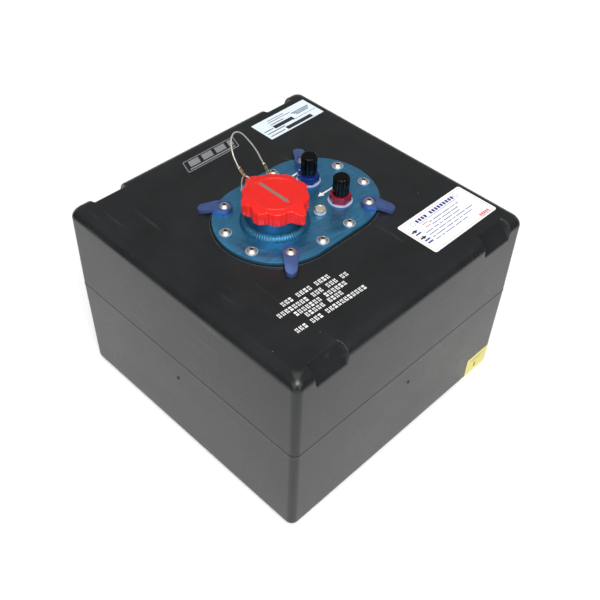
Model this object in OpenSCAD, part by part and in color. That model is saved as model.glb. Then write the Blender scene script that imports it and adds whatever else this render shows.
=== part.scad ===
// Racing fuel cell: a moulded container with a bladder and foam inside, closed by an oval fill plate
// that carries the filler neck and cap, the fuel outlet, the vent and a ground screw.
// Millimetres, +Z up. The origin is under the middle of the container, on the surface it stands on.
// The front of the container faces -Y.

/* [Container] */
// Outside width, left to right
case_w = 330; // [300:1:400]
// Outside depth, front to back
case_d = 328.5; // [300:0.5:400]
// Height of the moulded box
case_h = 226; // [200:1:300]
// Thickness of the moulded wall
case_wall = 5; // [3:0.5:6]
// Radius of the upright edges
case_corner_r = 8; // [7:0.5:12]
// Radius of the edge around the top
case_top_r = 13.5; // [10:0.5:16]
// Radius of the edge around the base
case_base_r = 8.5; // [7:0.5:12]
// Height of the mould's parting line
parting_z = 122; // [100:1:150]
// How far the lower half draws in at the base, on each side
case_draft = 1.3; // [0.5:0.1:3]
// How far the parting ridge stands out
ridge_out = 0.4; // [0.2:0.1:1]
// Height of the parting ridge
ridge_h = 1.6; // [1:0.1:3]

/* [Strap recesses] */
// Width of the recess for a hold-down strap
strap_w = 40; // [25:1:55]
// Distance between the two straps
strap_pitch = 241; // [180:1:260]
// Leg of the bevel that the strap lies on
strap_leg = 15.5; // [14:0.5:18]

/* [Bladder] */
// Space between the bladder and the container
bladder_gap = 1; // [0.5:0.25:3]
// Thickness of the rubberised fabric
bladder_wall = 2; // [1:0.5:3]
// Radius of the bladder's lower edges
bladder_base_r = 12; // [9:1:20]
// Thickness of the flange around the bladder's mouth
flange_t = 3.2; // [2:0.2:5]
// Width of the flange inside the line of screws
flange_in = 10.5; // [9:0.5:12]

/* [Nut ring] */
// Thickness of the tapped ring inside the bladder
ring_t = 6; // [4:0.5:8]
// Width of the ring inside the line of screws
ring_in = 8.5; // [6:0.5:9]
// Width of the ring outside the line of screws
ring_out = 8; // [6:0.5:8.5]

/* [Foam] */
// Space between the foam and what it fits in
foam_play = 0.3; // [0.2:0.1:1]
// Distance of the upright foam joint to the right of the plate's middle
foam_split_x = 12; // [8:1:20]
// Height of the level foam joint
foam_split_z = 110; // [90:1:125]
// Space that the foam leaves around the fittings
foam_clear = 3; // [1:0.5:6]

/* [Fill plate] */
// Shift of the plate to the right of the container's middle
plate_x = 0; // [-5:0.5:5]
// Shift of the plate to the back of the container's middle
plate_y = 1; // [-5:0.5:5]
// Distance between the centres of the plate's round ends
end_spread = 57.6; // [50:0.2:64]
// Radius of the line of screws around each end
screw_path_r = 54.5; // [52:0.5:58]
// Width of the plate outside the line of screws
plate_margin = 10.1; // [7.5:0.1:12]
// Thickness of the plate
plate_t = 3.2; // [2:0.2:5]
// Thickness of the gasket
gasket_t = 1.6; // [1:0.2:3]
// How far the gasket stands above the container
gasket_proud = 0.8; // [0.4:0.1:1]
// How far the gasket stands out from under the plate
gasket_out = 0.8; // [0.4:0.1:3]
// Space between the gasket and the container's opening
opening_gap = 1; // [0.5:0.1:2]

/* [Plate screws] */
// Diameter of the screws
screw_d = 6.35; // [5:0.05:7]
// Diameter of the button heads
screw_head_d = 11.1; // [9.5:0.1:12]
// Height of the button heads
screw_head_h = 3.4; // [2.5:0.1:4]
// Width of the hex socket across its flats
socket_af = 4; // [3:0.1:5]
// Depth of the hex socket
socket_depth = 1.9; // [1:0.1:2.2]
// Clearance between a screw and its thread, on the radius
screw_play = 0.05; // [0.02:0.01:0.1]
// Clearance between a screw and the pieces it passes through, on the radius
hole_play = 0.3; // [0.1:0.05:0.5]
// How far the screws stop above the underside of the nut ring
screw_short = 1; // [0:0.5:2]
// Diameter of the plain washers
washer_d = 12.7; // [12.5:0.1:15]
// Thickness of the plain washers
washer_t = 1.2; // [0.8:0.1:2]

/* [Hold-up tabs] */
// Radius of the tab around its screw
tab_boss_r = 8.2; // [8:0.1:9.5]
// Radius of the tab's tip
tab_tip_r = 5.8; // [5:0.1:8]
// Distance from the screw to the centre of the tip
tab_reach = 21.5; // [20:0.5:26]
// Thickness of the tab at its screw
tab_t = 5; // [4.5:0.1:7]
// Height of the tip above the container
tab_tip_h = 4.2; // [3:0.1:6]
// Radius of the round recess in the boss
tab_recess_r = 7; // [6.5:0.1:7.5]
// Depth of the round recess in the boss
tab_recess_depth = 1.2; // [0.5:0.1:2]
// How far past the plate's edge the tab's underside starts to slope down
tab_clear = 2; // [1.75:0.25:3]
// Width of the foot at the tab's tip
tab_foot_w = 1.5; // [1:0.25:3]
// Direction of the two right-hand tabs, from the plate's long axis
tab_angle_right = 58; // [45:1:65]
// Direction of the two left-hand tabs, from the plate's long axis
tab_angle_left = 47; // [45:1:65]

/* [Filler neck] */
// Distance of the neck to the left of the plate's middle
neck_left = 31; // [28:0.5:34]
// Outside diameter of the neck
neck_d = 59; // [54:0.5:60]
// Wall of the neck
neck_wall = 3; // [2:0.25:4]
// Height of the neck above the plate
neck_rise = 27; // [22:0.5:32]
// Leg of the weld bead around the neck
weld_leg = 6; // [3:0.2:7]
// Clearance around the neck in the plate and in the flapper housing, on the radius
neck_play = 0.05; // [0.02:0.01:0.1]

/* [Filler cap] */
// Height of the cap's skirt
cap_skirt = 14.6; // [12:0.2:17]
// Thickness of the cap's top
cap_top_t = 4.6; // [3:0.2:6]
// Clearance between the cap and the neck's thread, on the radius
cap_play = 0.5; // [0.3:0.05:1]
// Wall of the cap between its lobes
cap_wall = 1.5; // [1.2:0.1:3]
// How far one of the four lobes midway between the ears stands out
lobe_out = 3.7; // [1.5:0.1:4]
// Radius of one of these four lobes
lobe_r = 9; // [6:0.25:10]
// How far one of the four lobes beside an ear stands out
side_lobe_out = 1.9; // [1:0.1:3]
// Radius of a lobe beside an ear
side_lobe_r = 14; // [10:0.5:16]
// Turn of the lobes on both sides towards the ear with the hole
lobe_lean = 3; // [0:1:8]
// Distance from the cap's axis to the hole in an ear
ear_reach = 36.5; // [34:0.5:40]
// Radius of an ear's tip
ear_tip_r = 4.5; // [3.5:0.25:5]
// Radius that the plain ear grows from
ear_root_r = 22; // [20:0.25:31]
// Radius that the ear with the hole grows from
hole_ear_root_r = 29; // [24:0.25:31]
// Diameter of the hole in an ear
ear_hole_d = 3.2; // [2.6:0.1:4]
// Drop of the crown at the tips of the ears
crown_drop = 3.4; // [1:0.1:5]
// Radius of the flat top inside the crown
crown_flat_r = 30; // [28:0.25:31]
// Outside radius of the raised ring on top
cap_ring_r = 25.6; // [24:0.2:29]
// Width of the raised ring on top
cap_ring_w = 2.2; // [1.5:0.1:4]
// Height of the raised ring on top
cap_ring_h = 0.7; // [0.4:0.1:1.2]
// Thickness of the seal in the cap
seal_t = 2; // [1:0.25:3]

/* [Flapper valve] */
// Depth of the flapper's seat below the plate
seat_drop = 13.8; // [13:0.2:20]
// Thickness of the seat's lip
seat_t = 4; // [3:0.25:6]
// Radius of the hole through the seat
seat_hole_r = 23; // [20:0.5:24]
// Wall of the housing around the neck
housing_wall = 4; // [3:0.25:4.5]
// Radius of the flap
flap_r = 26.5; // [25:0.5:28]
// Thickness of the flap
flap_t = 2; // [1.5:0.25:3]
// Room around the flap
flap_room = 2; // [1:0.25:3]
// Thickness of the rubber ring on the flap
flap_seal_t = 1.2; // [0.8:0.1:2]
// How far the rubber ring reaches in from the seat's hole
flap_seal_in = 1; // [0.5:0.25:3]
// Gap between the rubber ring and the seat
flap_gap = 0.1; // [0.05:0.05:0.3]
// Distance from the neck's axis to the hinge pin
hinge_reach = 37; // [36.5:0.25:39]
// Diameter of the hinge pin
hinge_pin_d = 3; // [2:0.25:3.5]
// Clearance of the hinge pin, on the radius
hinge_play = 0.06; // [0.02:0.01:0.1]
// Outside radius of the hinge knuckles
knuckle_r = 3; // [2.75:0.05:3.25]
// Width of the pair of knuckles
knuckle_w = 13; // [11:0.5:14]
// Width of one knuckle
knuckle_each = 3; // [2:0.25:3.5]
// Width of one ear of the housing
hinge_ear_w = 3.2; // [2.5:0.1:4]
// Height of the housing's ears above the seat
hinge_ear_top = 4; // [2.5:0.25:5]
// Depth of the housing's ears below the hinge pin
hinge_ear_low = 4.5; // [3.5:0.25:6]
// Width of the housing's ears behind the knuckles
hinge_ear_back = 1; // [0.5:0.1:1.5]
// How far the pin stands out at each end
pin_past = 0.5; // [0.2:0.1:1]
// Gap at the sides of the knuckles
knuckle_gap = 0.3; // [0.2:0.05:0.5]
// Wire of the closing spring
spring_wire_d = 0.8; // [0.6:0.1:0.9]
// Gap between the coils of the closing spring
spring_coil_gap = 0.6; // [0.45:0.05:0.7]
// Length of the spring's leg under the flap
spring_leg = 9; // [6:0.5:12]
// Gap at the ends of the spring's legs
spring_gap = 0.1; // [0.05:0.05:0.2]

/* [Ports] */
// Distance of the ports to the right of the plate's middle
port_right = 39.5; // [37:0.5:43]
// Distance between the two ports
port_spread = 45.4; // [42:0.2:50]
// Diameter of the port threads
port_thread_d = 14.3; // [13:0.1:15]
// Clearance of the port threads in plate and washer, on the radius
port_hole_play = 0.2; // [0.1:0.05:0.4]
// Diameter of the white sealing washers
port_washer_d = 26; // [25:0.5:28]
// Thickness of the white sealing washers
port_washer_t = 1.4; // [1:0.1:2]
// Width of the hexagons across their flats
port_hex_af = 20.6; // [18:0.2:22]
// Height of the hexagons
port_hex_h = 8; // [6:0.5:10]
// Turn of the hexagons about their axes
port_hex_turn = 5; // [0:1:30]
// Length of the thread above the hexagon, without its cone
port_thread_l = 13; // [9:0.5:14]
// Height of the sealing cone at the end of a port
port_cone_h = 3.4; // [2.5:0.1:4]
// Diameter of the bore through a port
port_bore_d = 9; // [7:0.25:9.5]
// Step from the thread in to the sealing cone
cone_step = 0.9; // [0.5:0.1:1.2]
// Width of the flat end of the sealing cone
cone_land = 0.7; // [0.5:0.1:1]
// Width of the nuts under the plate across their flats
port_nut_af = 19; // [18:0.2:21]
// Height of the nuts under the plate
port_nut_h = 6; // [5:0.5:8]
// How far a thread goes past its nut
port_thread_past = 8; // [6:0.5:10]

/* [Dust caps] */
// Diameter of the dust caps
dust_d = 17.4; // [17:0.1:19]
// Thickness of the closed end
dust_end_t = 3.5; // [2.5:0.25:4]
// Clearance around the thread, on the radius
dust_play = 0.3; // [0.2:0.05:0.5]
// Gap under the outlet's dust cap and over the end of the outlet
outlet_dust_gap = 2.8; // [0.2:0.1:3.5]
// Gap under the vent's dust cap and over the end of the vent
vent_dust_gap = 1.1; // [0.2:0.1:3.5]
// Number of flutes
dust_flutes = 16; // [12:1:20]
// Radius of a flute
flute_r = 0.6; // [0.4:0.1:0.8]

/* [Fuel pick-up] */
// Outside diameter of the hose
hose_d = 15; // [14:0.25:17]
// Inside diameter of the hose
hose_bore_d = 10.5; // [10.25:0.05:11.5]
// Length of the spigots inside the hose
spigot_l = 18; // [14:1:24]
// Wall of the spigots
spigot_wall = 1.2; // [0.8:0.1:1.6]
// Clearance between the hose and its spigots, on the radius
hose_play = 0.05; // [0.02:0.01:0.1]
// Diameter of the pick-up filter
filter_d = 30; // [26:1:36]
// Height of the pick-up filter
filter_h = 28; // [20:1:40]
// Wall of the pick-up filter
filter_wall = 2; // [1:0.25:3]
// Width of the hose clamps
clamp_w = 8; // [6:0.5:10]
// Thickness of the hose clamps
clamp_t = 1; // [0.6:0.1:1.5]
// Width of a clamp's crimped ear
clamp_ear_w = 4; // [3:0.25:6]
// How far a clamp's crimped ear stands out
clamp_ear_out = 1.5; // [1:0.1:2]

/* [Roll-over valve] */
// Outside diameter of the valve
valve_d = 24; // [22:0.5:27]
// Diameter of the ball
ball_d = 14; // [12:0.5:15]
// Clearance around the ball, on the radius
ball_play = 1; // [0.5:0.1:1.5]
// Travel of the ball from its plug to its seat
ball_travel = 8; // [6:0.5:10]
// Gap under the resting ball
ball_gap = 0.1; // [0.05:0.05:0.3]
// Gap left between the ball and its seat
ball_seat_gap = 0.2; // [0.1:0.05:0.4]
// Diameter of the seat's hole
ball_seat_d = 8; // [6:0.5:9]
// Thickness of the seat
valve_seat_t = 3; // [2:0.5:5]
// Thickness of the plug that holds the ball in
plug_t = 3; // [2:0.5:5]
// Diameter of the holes in the plug
plug_hole_d = 4; // [3:0.25:4.5]
// Clearance of the plug, on the radius
plug_play = 0.05; // [0.02:0.01:0.1]

/* [Ground screw] */
// Distance of the ground screw to the right of the plate's middle
ground_right = 10.8; // [10:0.2:13]
// Distance of the ground screw to the front of the plate's middle
ground_front = 22; // [20:0.5:26]
// Diameter of the ground screw
ground_d = 4.8; // [4:0.1:6]
// Width of the ground screw's head across its flats
ground_af = 10.2; // [8:0.1:11]
// Height of the ground screw's head
ground_head_h = 4.4; // [3:0.1:5]
// Diameter of the ground washer
ground_washer_d = 12.6; // [12:0.1:15]
// Thickness of the ground washer
ground_washer_t = 1.2; // [0.8:0.1:2]
// Height of the ground nut
ground_nut_h = 4; // [3:0.25:5]
// Length of the ground screw below its nut
ground_past = 3; // [1:0.5:6]

/* [Lanyard] */
// Diameter of the coated wire
wire_d = 1.5; // [1:0.1:1.8]
// Diameter of the crimped ferrules
ferrule_d = 3.6; // [3.2:0.1:4.5]
// Gap between the cap's ferrule and the free wire
ferrule_gap = 0.3; // [0.2:0.05:0.5]
// Gap under and over the eye that a screw holds
eye_gap = 0.1; // [0.05:0.05:0.2]

/* [Hidden] */

$fn = 64;
// Facets on the rounded edges and upright corners of the moulded box and of the bladder
edge_step = 15;
corner_steps = 8;
// Facets on the round ends of a tapered outline
arc_steps = 24;
// Reach of a cut past the face that it opens
past = 1;

// Levels of the stack around the opening, from the bottom up
flange_z = case_h + gasket_proud - gasket_t;
ring_z = flange_z - flange_t;
ring_base_z = ring_z - ring_t;
plate_z = case_h + gasket_proud;
deck_z = plate_z + plate_t;

// Oval outlines around the line of screws
plate_r = screw_path_r + plate_margin;
gasket_r = plate_r + gasket_out;
opening_r = gasket_r + opening_gap;
mouth_r = screw_path_r - flange_in;
collar_r = gasket_r - bladder_wall;

// Screw line: twelve screws at an even pitch, the first half a pitch to the right of the back's middle
screw_count = 12;
tab_screws = [1, 4, 7, 10];
eye_screw = 0;
half_spread = end_spread / 2;
end_arc = PI * screw_path_r;
screw_pitch = (2 * end_arc + 2 * end_spread) / screw_count;
screw_hole_r = screw_d / 2 + hole_play;

// Strap recess: distance from the sharp edge to its floor, and the bladder edge that clears its wall
strap_set = strap_leg / sqrt(2);
bladder_inset = case_wall + bladder_gap;
bladder_edge_r = (strap_set + bladder_gap - bladder_inset * (sqrt(2) - 1)) / (sqrt(2) - 1);
bladder_top_z = case_h - bladder_inset;

// Filler neck, cap and flapper
neck_r = neck_d / 2;
neck_bore_r = neck_r - neck_wall;
neck_top_z = deck_z + neck_rise;
seat_z = plate_z - seat_drop;
housing_r = neck_r + neck_play + housing_wall;
cap_inside_z = neck_top_z + seal_t;
cap_top_z = cap_inside_z + cap_top_t;
cap_z = cap_top_z - cap_skirt;
cap_bore_r = neck_r + cap_play;
cap_body_r = cap_bore_r + cap_wall;
cap_tip_r = ear_reach + ear_tip_r;
lobe_step = 36;
flap_top_z = seat_z - flap_gap - flap_seal_t;
hinge_z = flap_top_z - flap_t / 2;
hinge_ear_y = knuckle_w / 2 + knuckle_gap + hinge_ear_w / 2;
flap_open_room = hinge_reach + flap_r + foam_clear;

// Ports
port_y = port_spread / 2;
port_hex_z = deck_z + port_washer_t;
port_thread_z = port_hex_z + port_hex_h;
port_tip_z = port_thread_z + port_thread_l + port_cone_h;
port_nut_z = plate_z - port_nut_h;
port_low_z = port_nut_z - port_thread_past;
port_thread_r = port_thread_d / 2;
port_hole_r = port_thread_r + port_hole_play;

// Fuel pick-up, from the bladder's floor to the outlet
floor_z = case_wall + bladder_wall;
filter_z = floor_z + foam_play;
filter_top_z = filter_z + filter_h;
spigot_r = hose_bore_d / 2 - hose_play;

// Roll-over valve, from its mouth under the vent's nut down to its plug
chamber_r = ball_d / 2 + ball_play;
ball_rise = ball_d / 2 - sqrt(pow(ball_d / 2, 2) - pow(ball_seat_d / 2, 2));
chamber_h = ball_gap + ball_d + ball_travel + ball_seat_gap - ball_rise;
valve_seat_z = port_low_z - valve_seat_t;
plug_top_z = valve_seat_z - chamber_h;
valve_low_z = plug_top_z - plug_t;

// Foam joints
foam_top_z = ring_base_z - foam_clear;
foam_joint_x = plate_x + foam_split_x;

// Route of the lanyard's free wire from the cap's ferrule to the plate's ferrule,
// from the middle of the plate's top
wire_route = [
    [-38.5, 44.5, 45], [-39, 47.5, 50], [-38.5, 51, 54], [-36.5, 55.5, 58.5],
    [-33.5, 60, 61.5], [-29, 64.5, 63.5], [-23.5, 68.5, 63.5], [-17.5, 72, 61.5],
    [-11.5, 74, 58], [-6, 74.5, 53.5], [-1.5, 74, 47.5], [2.5, 72.5, 41],
    [5.5, 70, 35], [8, 67, 28.5], [9.5, 64, 22], [11, 61, 16]
];
// Ends of the ferrules away from the free wire
cap_ferrule_end = [-34.5, 40, 34];
plate_ferrule_end = [13.5, 55.5, 5.5];
// Loop through the hole in the cap's ear, from the ferrule and back to it
loop_route = [
    [-35, 40.5, 37], [-34, 39.5, 34.5], [-32.5, 38, 33.5], [-31.5, 37, 32], [-31, 36.5, 30],
    [-31, 36.5, 25], [-31, 36.5, 20], [-31.5, 37, 17.5], [-32.5, 39, 16], [-34, 41.5, 16],
    [-35.5, 43, 18], [-35.5, 43.5, 22], [-35.5, 43, 27], [-35.5, 42, 31], [-35.5, 41, 33.5], [-36, 41.5, 36]
];
// Eye under the head of a plate screw, from that screw's middle and from the wire lying on its washer
eye_route = [
    [-5.5, 1.75, 6.5], [-5.5, 0, 3], [-6, -1.5, 1.5], [-5.5, -2.5, 0.5], [-4, -3.5, 0], [-1.5, -4.5, 0],
    [1.5, -4.5, 0], [4, -2.5, 0], [5, 0, 0], [4, 2.5, 0], [1.5, 4.5, 0],
    [-1.5, 4.5, 0], [-4, 4, 0], [-6, 3, 0.5], [-6.5, 2.5, 2.5], [-6.5, 3.25, 6.5]
];
cord_sides = 8;
cord_steps = 2;

// Closing spring around the hinge pin
spring_turns = 2.5;
spring_pitch = spring_wire_d + spring_coil_gap;
spring_r = hinge_pin_d / 2 + hinge_play + spring_wire_d;
spring_rings = 8;
spring_sides = 6;

// Points and tubes

// Middle of the plate's top
deck = [plate_x, plate_y, deck_z];

// Point at a distance along the line of screws, clockwise from the back's middle
function screw_line(s) =
    s < half_spread ? [s, screw_path_r] :
    s < half_spread + end_arc ?
        let (a = (s - half_spread) / end_arc * 180)
        [half_spread + screw_path_r * sin(a), screw_path_r * cos(a)] :
    s < 3 * half_spread + end_arc ? [2 * half_spread + end_arc - s, -screw_path_r] :
    s < 3 * half_spread + 2 * end_arc ?
        let (a = (s - 3 * half_spread - end_arc) / end_arc * 180)
        [-half_spread - screw_path_r * sin(a), -screw_path_r * cos(a)] :
    [s - 4 * half_spread - 2 * end_arc, screw_path_r];

function screw_at(i) = screw_line((i + 0.5) * screw_pitch);
function holds_tab(i) = len(search(i, tab_screws)) > 0;

// Height of the seat of each screw's head
function screw_seat(i) =
    holds_tab(i) ? deck_z + tab_t - tab_recess_depth :
    i == eye_screw ? deck_z + washer_t + wire_d + 2 * eye_gap : deck_z + washer_t;

function unit(v) = v / norm(v);
function heading(p, i) = unit(p[min(i + 1, len(p) - 1)] - p[max(i - 1, 0)]);
function square_to(v, t) = unit(v - (v * t) * t);

// Side directions carried along a route without twisting
function sides_of(p, start, i = 0) =
    i == len(p) ? [] :
    let (s = square_to(start, heading(p, i)))
    concat([s], sides_of(p, s, i + 1));

// Smooth curve through the points of a route
function curve_point(a, b, c, d, t) =
    b + (c - a) * t / 2 + (2 * a - 5 * b + 4 * c - d) * t * t / 2 + (3 * b - a - 3 * c + d) * t * t * t / 2;
function smooth(p, steps) = [
    for (i = [0 : len(p) - 2], k = [0 : steps - 1])
        curve_point(p[max(i - 1, 0)], p[i], p[i + 1], p[min(i + 2, len(p) - 1)], k / steps),
    p[len(p) - 1]
];

// Solid between rings of points that follow each other
module skin(points, sides) {
    last = len(points) / sides - 1;
    walls = [
        for (i = [0 : last - 1], k = [0 : sides - 1])
            let (a = i * sides + k, b = i * sides + (k + 1) % sides)
            each [[a, a + sides, b], [b, a + sides, b + sides]]
    ];
    ends = [
        for (k = [1 : sides - 2])
            each [[0, k, k + 1], [last * sides, last * sides + k + 1, last * sides + k]]
    ];
    polyhedron(points, concat(walls, ends));
}

// Round tube along a list of points
module tube(p, r, sides, start) {
    side = sides_of(p, start);
    last = len(p) - 1;
    points = [
        for (i = [0 : last], k = [0 : sides - 1])
            let (a = 360 * k / sides, t = heading(p, i))
            p[i] + r * (cos(a) * side[i] + sin(a) * cross(t, side[i]))
    ];
    skin(points, sides);
}

// Straight round bar between two points
module bar(a, b, d) {
    v = b - a;
    translate(a)
        rotate([0, acos(v[2] / norm(v)), atan2(v[1], v[0])])
            cylinder(d = d, h = norm(v));
}

// Shared shapes

// Insets and heights up the side of a block with rounded edges, drawn in at its base
function block_levels(z0, z1, top_r, base_r, ridge_out) = concat(
    [for (a = [-90 : edge_step : 0]) [case_draft + base_r * (1 - cos(a)), z0 + base_r + base_r * sin(a)]],
    [[0, parting_z - ridge_h / 2]],
    ridge_out > 0 ? [[-ridge_out, parting_z - ridge_h / 4], [-ridge_out, parting_z + ridge_h / 4]] : [],
    [[0, parting_z + ridge_h / 2]],
    [for (a = [0 : edge_step : 90]) [top_r * (1 - cos(a)), z1 - top_r + top_r * sin(a)]]
);

// Points around a rectangle with round corners
function rounded_ring(w, d, r, z) = [
    for (corner = [0 : 3], k = [0 : corner_steps])
        let (
            a = 90 * (corner + k / corner_steps),
            sx = corner == 0 || corner == 3 ? 1 : -1,
            sy = corner < 2 ? 1 : -1
        )
        [sx * (w / 2 - r) + r * cos(a), sy * (d / 2 - r) + r * sin(a), z]
];

// Block with rounded edges
module rounded_block(w, d, r, levels) {
    rings = [for (level = levels) each rounded_ring(w - 2 * level[0], d - 2 * level[0], r, level[1])];
    skin(rings, 4 * (corner_steps + 1));
}

// Oval with round ends
module oval(r) {
    for (side = [-1, 1])
        translate([side * half_spread, 0])
            circle(r = r);
    square([end_spread, 2 * r], center = true);
}

// Oval slab around the plate's middle
module oval_slab(r, z0, z1) {
    translate([plate_x, plate_y, z0])
        linear_extrude(z1 - z0)
            oval(r);
}

// Place on the plate
module on_plate(x, y, z) {
    translate([plate_x + x, plate_y + y, z])
        children();
}

// Holes for all the plate screws
module screw_holes(r, z0, z1) {
    for (i = [0 : screw_count - 1])
        on_plate(screw_at(i)[0], screw_at(i)[1], z0)
            cylinder(r = r, h = z1 - z0);
}

// Outline that tapers from one round end to another
module tapered_outline(root_r, tip_r, reach) {
    a = acos((root_r - tip_r) / reach);
    root = [for (k = [0 : arc_steps]) let (b = a + (360 - 2 * a) * k / arc_steps) root_r * [cos(b), sin(b)]];
    tip = [
        for (k = [0 : arc_steps])
            let (b = 2 * a * k / arc_steps - a)
            [reach + tip_r * cos(b), tip_r * sin(b)]
    ];
    polygon(concat(root, tip));
}

module hexagon(af, h) {
    cylinder(d = af / cos(30), h = h, $fn = 6);
}

module ring(d, bore_r, h) {
    difference() {
        cylinder(d = d, h = h);
        translate([0, 0, -past])
            cylinder(r = bore_r, h = h + 2 * past);
    }
}

// Container

// Bevels across the top edges where the straps lie, grown by the wall for the inside
module strap_bevels(grow) {
    leg = strap_leg + grow * sqrt(2);
    width = strap_w + 2 * grow;
    for (sx = [-1, 1], turn = [0, 180])
        rotate(turn)
            translate([sx * strap_pitch / 2 - width / 2, case_d / 2, case_h])
                rotate([90, 0, 90])
                    linear_extrude(width)
                        polygon([[-leg - past, past], [past, past], [past, -leg - past]]);
}

module container_cavity() {
    difference() {
        rounded_block(
            case_w - 2 * case_wall, case_d - 2 * case_wall, case_corner_r - case_wall,
            block_levels(case_wall, case_h - case_wall, case_top_r - case_wall, case_base_r - case_wall, 0)
        );
        strap_bevels(case_wall);
    }
}

module container() {
    color("dimgray")
        difference() {
            rounded_block(
                case_w, case_d, case_corner_r, block_levels(0, case_h, case_top_r, case_base_r, ridge_out)
            );
            container_cavity();
            strap_bevels(0);
            oval_slab(opening_r, case_h - case_wall - past, case_h + past);
        }
}

// Bladder, nut ring and foam

// Inside of the container, drawn in by the bladder's gap and by a further inset
module bag(inset) {
    edge_r = bladder_edge_r - inset;
    rounded_block(
        case_w - 2 * (bladder_inset + inset), case_d - 2 * (bladder_inset + inset), edge_r,
        block_levels(case_wall + inset, bladder_top_z - inset, edge_r, bladder_base_r - inset, 0)
    );
}

module bladder() {
    color("darkslategray")
        difference() {
            union() {
                bag(0);
                oval_slab(gasket_r, bladder_top_z - bladder_wall, flange_z);
            }
            bag(bladder_wall);
            oval_slab(collar_r, bladder_top_z - bladder_wall - past, ring_z);
            oval_slab(mouth_r, ring_z - past, flange_z + past);
            screw_holes(screw_hole_r, ring_z - past, flange_z + past);
        }
}

module nut_ring() {
    color("slategray")
        difference() {
            oval_slab(screw_path_r + ring_out, ring_base_z, ring_z);
            oval_slab(screw_path_r - ring_in, ring_base_z - past, ring_z + past);
            screw_holes(screw_d / 2 + screw_play, ring_base_z - past, ring_z + past);
        }
}

// Foam between two levels and between two sides
module foam(x0, x1, z0, z1) {
    intersection() {
        bag(bladder_wall + foam_play);
        translate([x0, -case_d / 2, z0])
            cube([x1 - x0, case_d, z1 - z0]);
    }
}

// Upright round room for a fitting under the plate
module foam_well(x, y, r, z0) {
    on_plate(x, y, z0)
        cylinder(r = r + foam_clear, h = case_h - z0);
}

module pickup_wells() {
    foam_well(port_right, port_y, hose_d / 2 + clamp_t + clamp_ear_out, 0);
    on_plate(port_right, port_y, 0)
        cylinder(r = filter_d / 2 + foam_clear, h = filter_top_z + foam_clear);
}

module foam_lower_left() {
    color("khaki")
        foam(-case_w / 2, foam_joint_x - foam_play, 0, foam_split_z);
}

module foam_lower_right() {
    color("khaki")
        difference() {
            foam(foam_joint_x, case_w / 2, 0, foam_split_z);
            pickup_wells();
        }
}

module foam_upper_left() {
    room_z = hinge_z - flap_open_room;
    color("khaki")
        difference() {
            foam(-case_w / 2, foam_joint_x - foam_play, foam_split_z, foam_top_z);
            on_plate(-neck_left, 0, room_z)
                cylinder(r = hinge_reach + knuckle_r + foam_clear, h = case_h - room_z);
        }
}

module foam_upper_right() {
    color("khaki")
        difference() {
            foam(foam_joint_x, case_w / 2, foam_split_z, foam_top_z);
            pickup_wells();
            foam_well(port_right, -port_y, valve_d / 2, valve_low_z - foam_clear);
            on_plate(-neck_left, 0, hinge_z - flap_open_room)
                cylinder(r = hinge_reach + knuckle_r + foam_clear, h = case_h);
        }
}

// Fill plate and its fasteners

module plate_gasket() {
    color("black")
        difference() {
            oval_slab(gasket_r, flange_z, plate_z);
            oval_slab(mouth_r, flange_z - past, plate_z + past);
            screw_holes(screw_hole_r, flange_z - past, plate_z + past);
        }
}

module fill_plate() {
    color("steelblue")
        difference() {
            oval_slab(plate_r, plate_z, deck_z);
            screw_holes(screw_hole_r, plate_z - past, deck_z + past);
            on_plate(-neck_left, 0, plate_z - past)
                cylinder(r = neck_r + neck_play, h = plate_t + 2 * past);
            for (side = [-1, 1])
                on_plate(port_right, side * port_y, plate_z - past)
                    cylinder(r = port_hole_r, h = plate_t + 2 * past);
            on_plate(ground_right, -ground_front, plate_z - past)
                cylinder(r = ground_d / 2 + hole_play, h = plate_t + 2 * past);
        }
}

// Button-head socket screw with its head on the level z
module button_screw(z, tip_z) {
    head_r = screw_head_d / 2;
    dome_r = (head_r * head_r + screw_head_h * screw_head_h) / (2 * screw_head_h);
    translate([0, 0, tip_z])
        cylinder(d = screw_d, h = z - tip_z);
    translate([0, 0, z])
        difference() {
            intersection() {
                cylinder(r = head_r, h = screw_head_h);
                translate([0, 0, screw_head_h - dome_r])
                    sphere(r = dome_r);
            }
            translate([0, 0, screw_head_h - socket_depth])
                hexagon(socket_af, socket_depth + past);
        }
}

module plate_screws() {
    color("silver")
        for (i = [0 : screw_count - 1])
            on_plate(screw_at(i)[0], screw_at(i)[1], 0)
                button_screw(screw_seat(i), ring_base_z + screw_short);
}

module plate_washers() {
    color("gainsboro")
        for (i = [0 : screw_count - 1])
            if (!holds_tab(i))
                on_plate(screw_at(i)[0], screw_at(i)[1], deck_z)
                    ring(washer_d, screw_hole_r, washer_t);
}

// Hold-up tab: its boss sits on the plate and its tip bears on the container, so the plate can't drop in
module hold_up_tab(i, angle) {
    slope_s = plate_margin + tab_clear;
    tip_s = tab_reach + tab_tip_r;
    boss_z = deck_z + tab_t;
    color("slateblue")
        on_plate(screw_at(i)[0], screw_at(i)[1], 0)
            rotate(angle)
                difference() {
                    intersection() {
                        translate([0, 0, case_h])
                            linear_extrude(boss_z - case_h)
                                tapered_outline(tab_boss_r, tab_tip_r, tab_reach);
                        rotate([90, 0, 0])
                            linear_extrude(2 * tab_boss_r + 2 * past, center = true)
                                polygon([
                                    [-tab_boss_r - past, deck_z], [slope_s, deck_z],
                                    [tip_s - tab_foot_w, case_h], [tip_s + past, case_h],
                                    [tip_s + past, case_h + tab_tip_h],
                                    [tab_boss_r, boss_z], [-tab_boss_r - past, boss_z]
                                ]);
                    }
                    translate([0, 0, boss_z - tab_recess_depth])
                        cylinder(r = tab_recess_r, h = tab_recess_depth + past);
                    translate([0, 0, deck_z - past])
                        cylinder(r = screw_hole_r, h = tab_t + 2 * past);
                }
}

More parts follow.
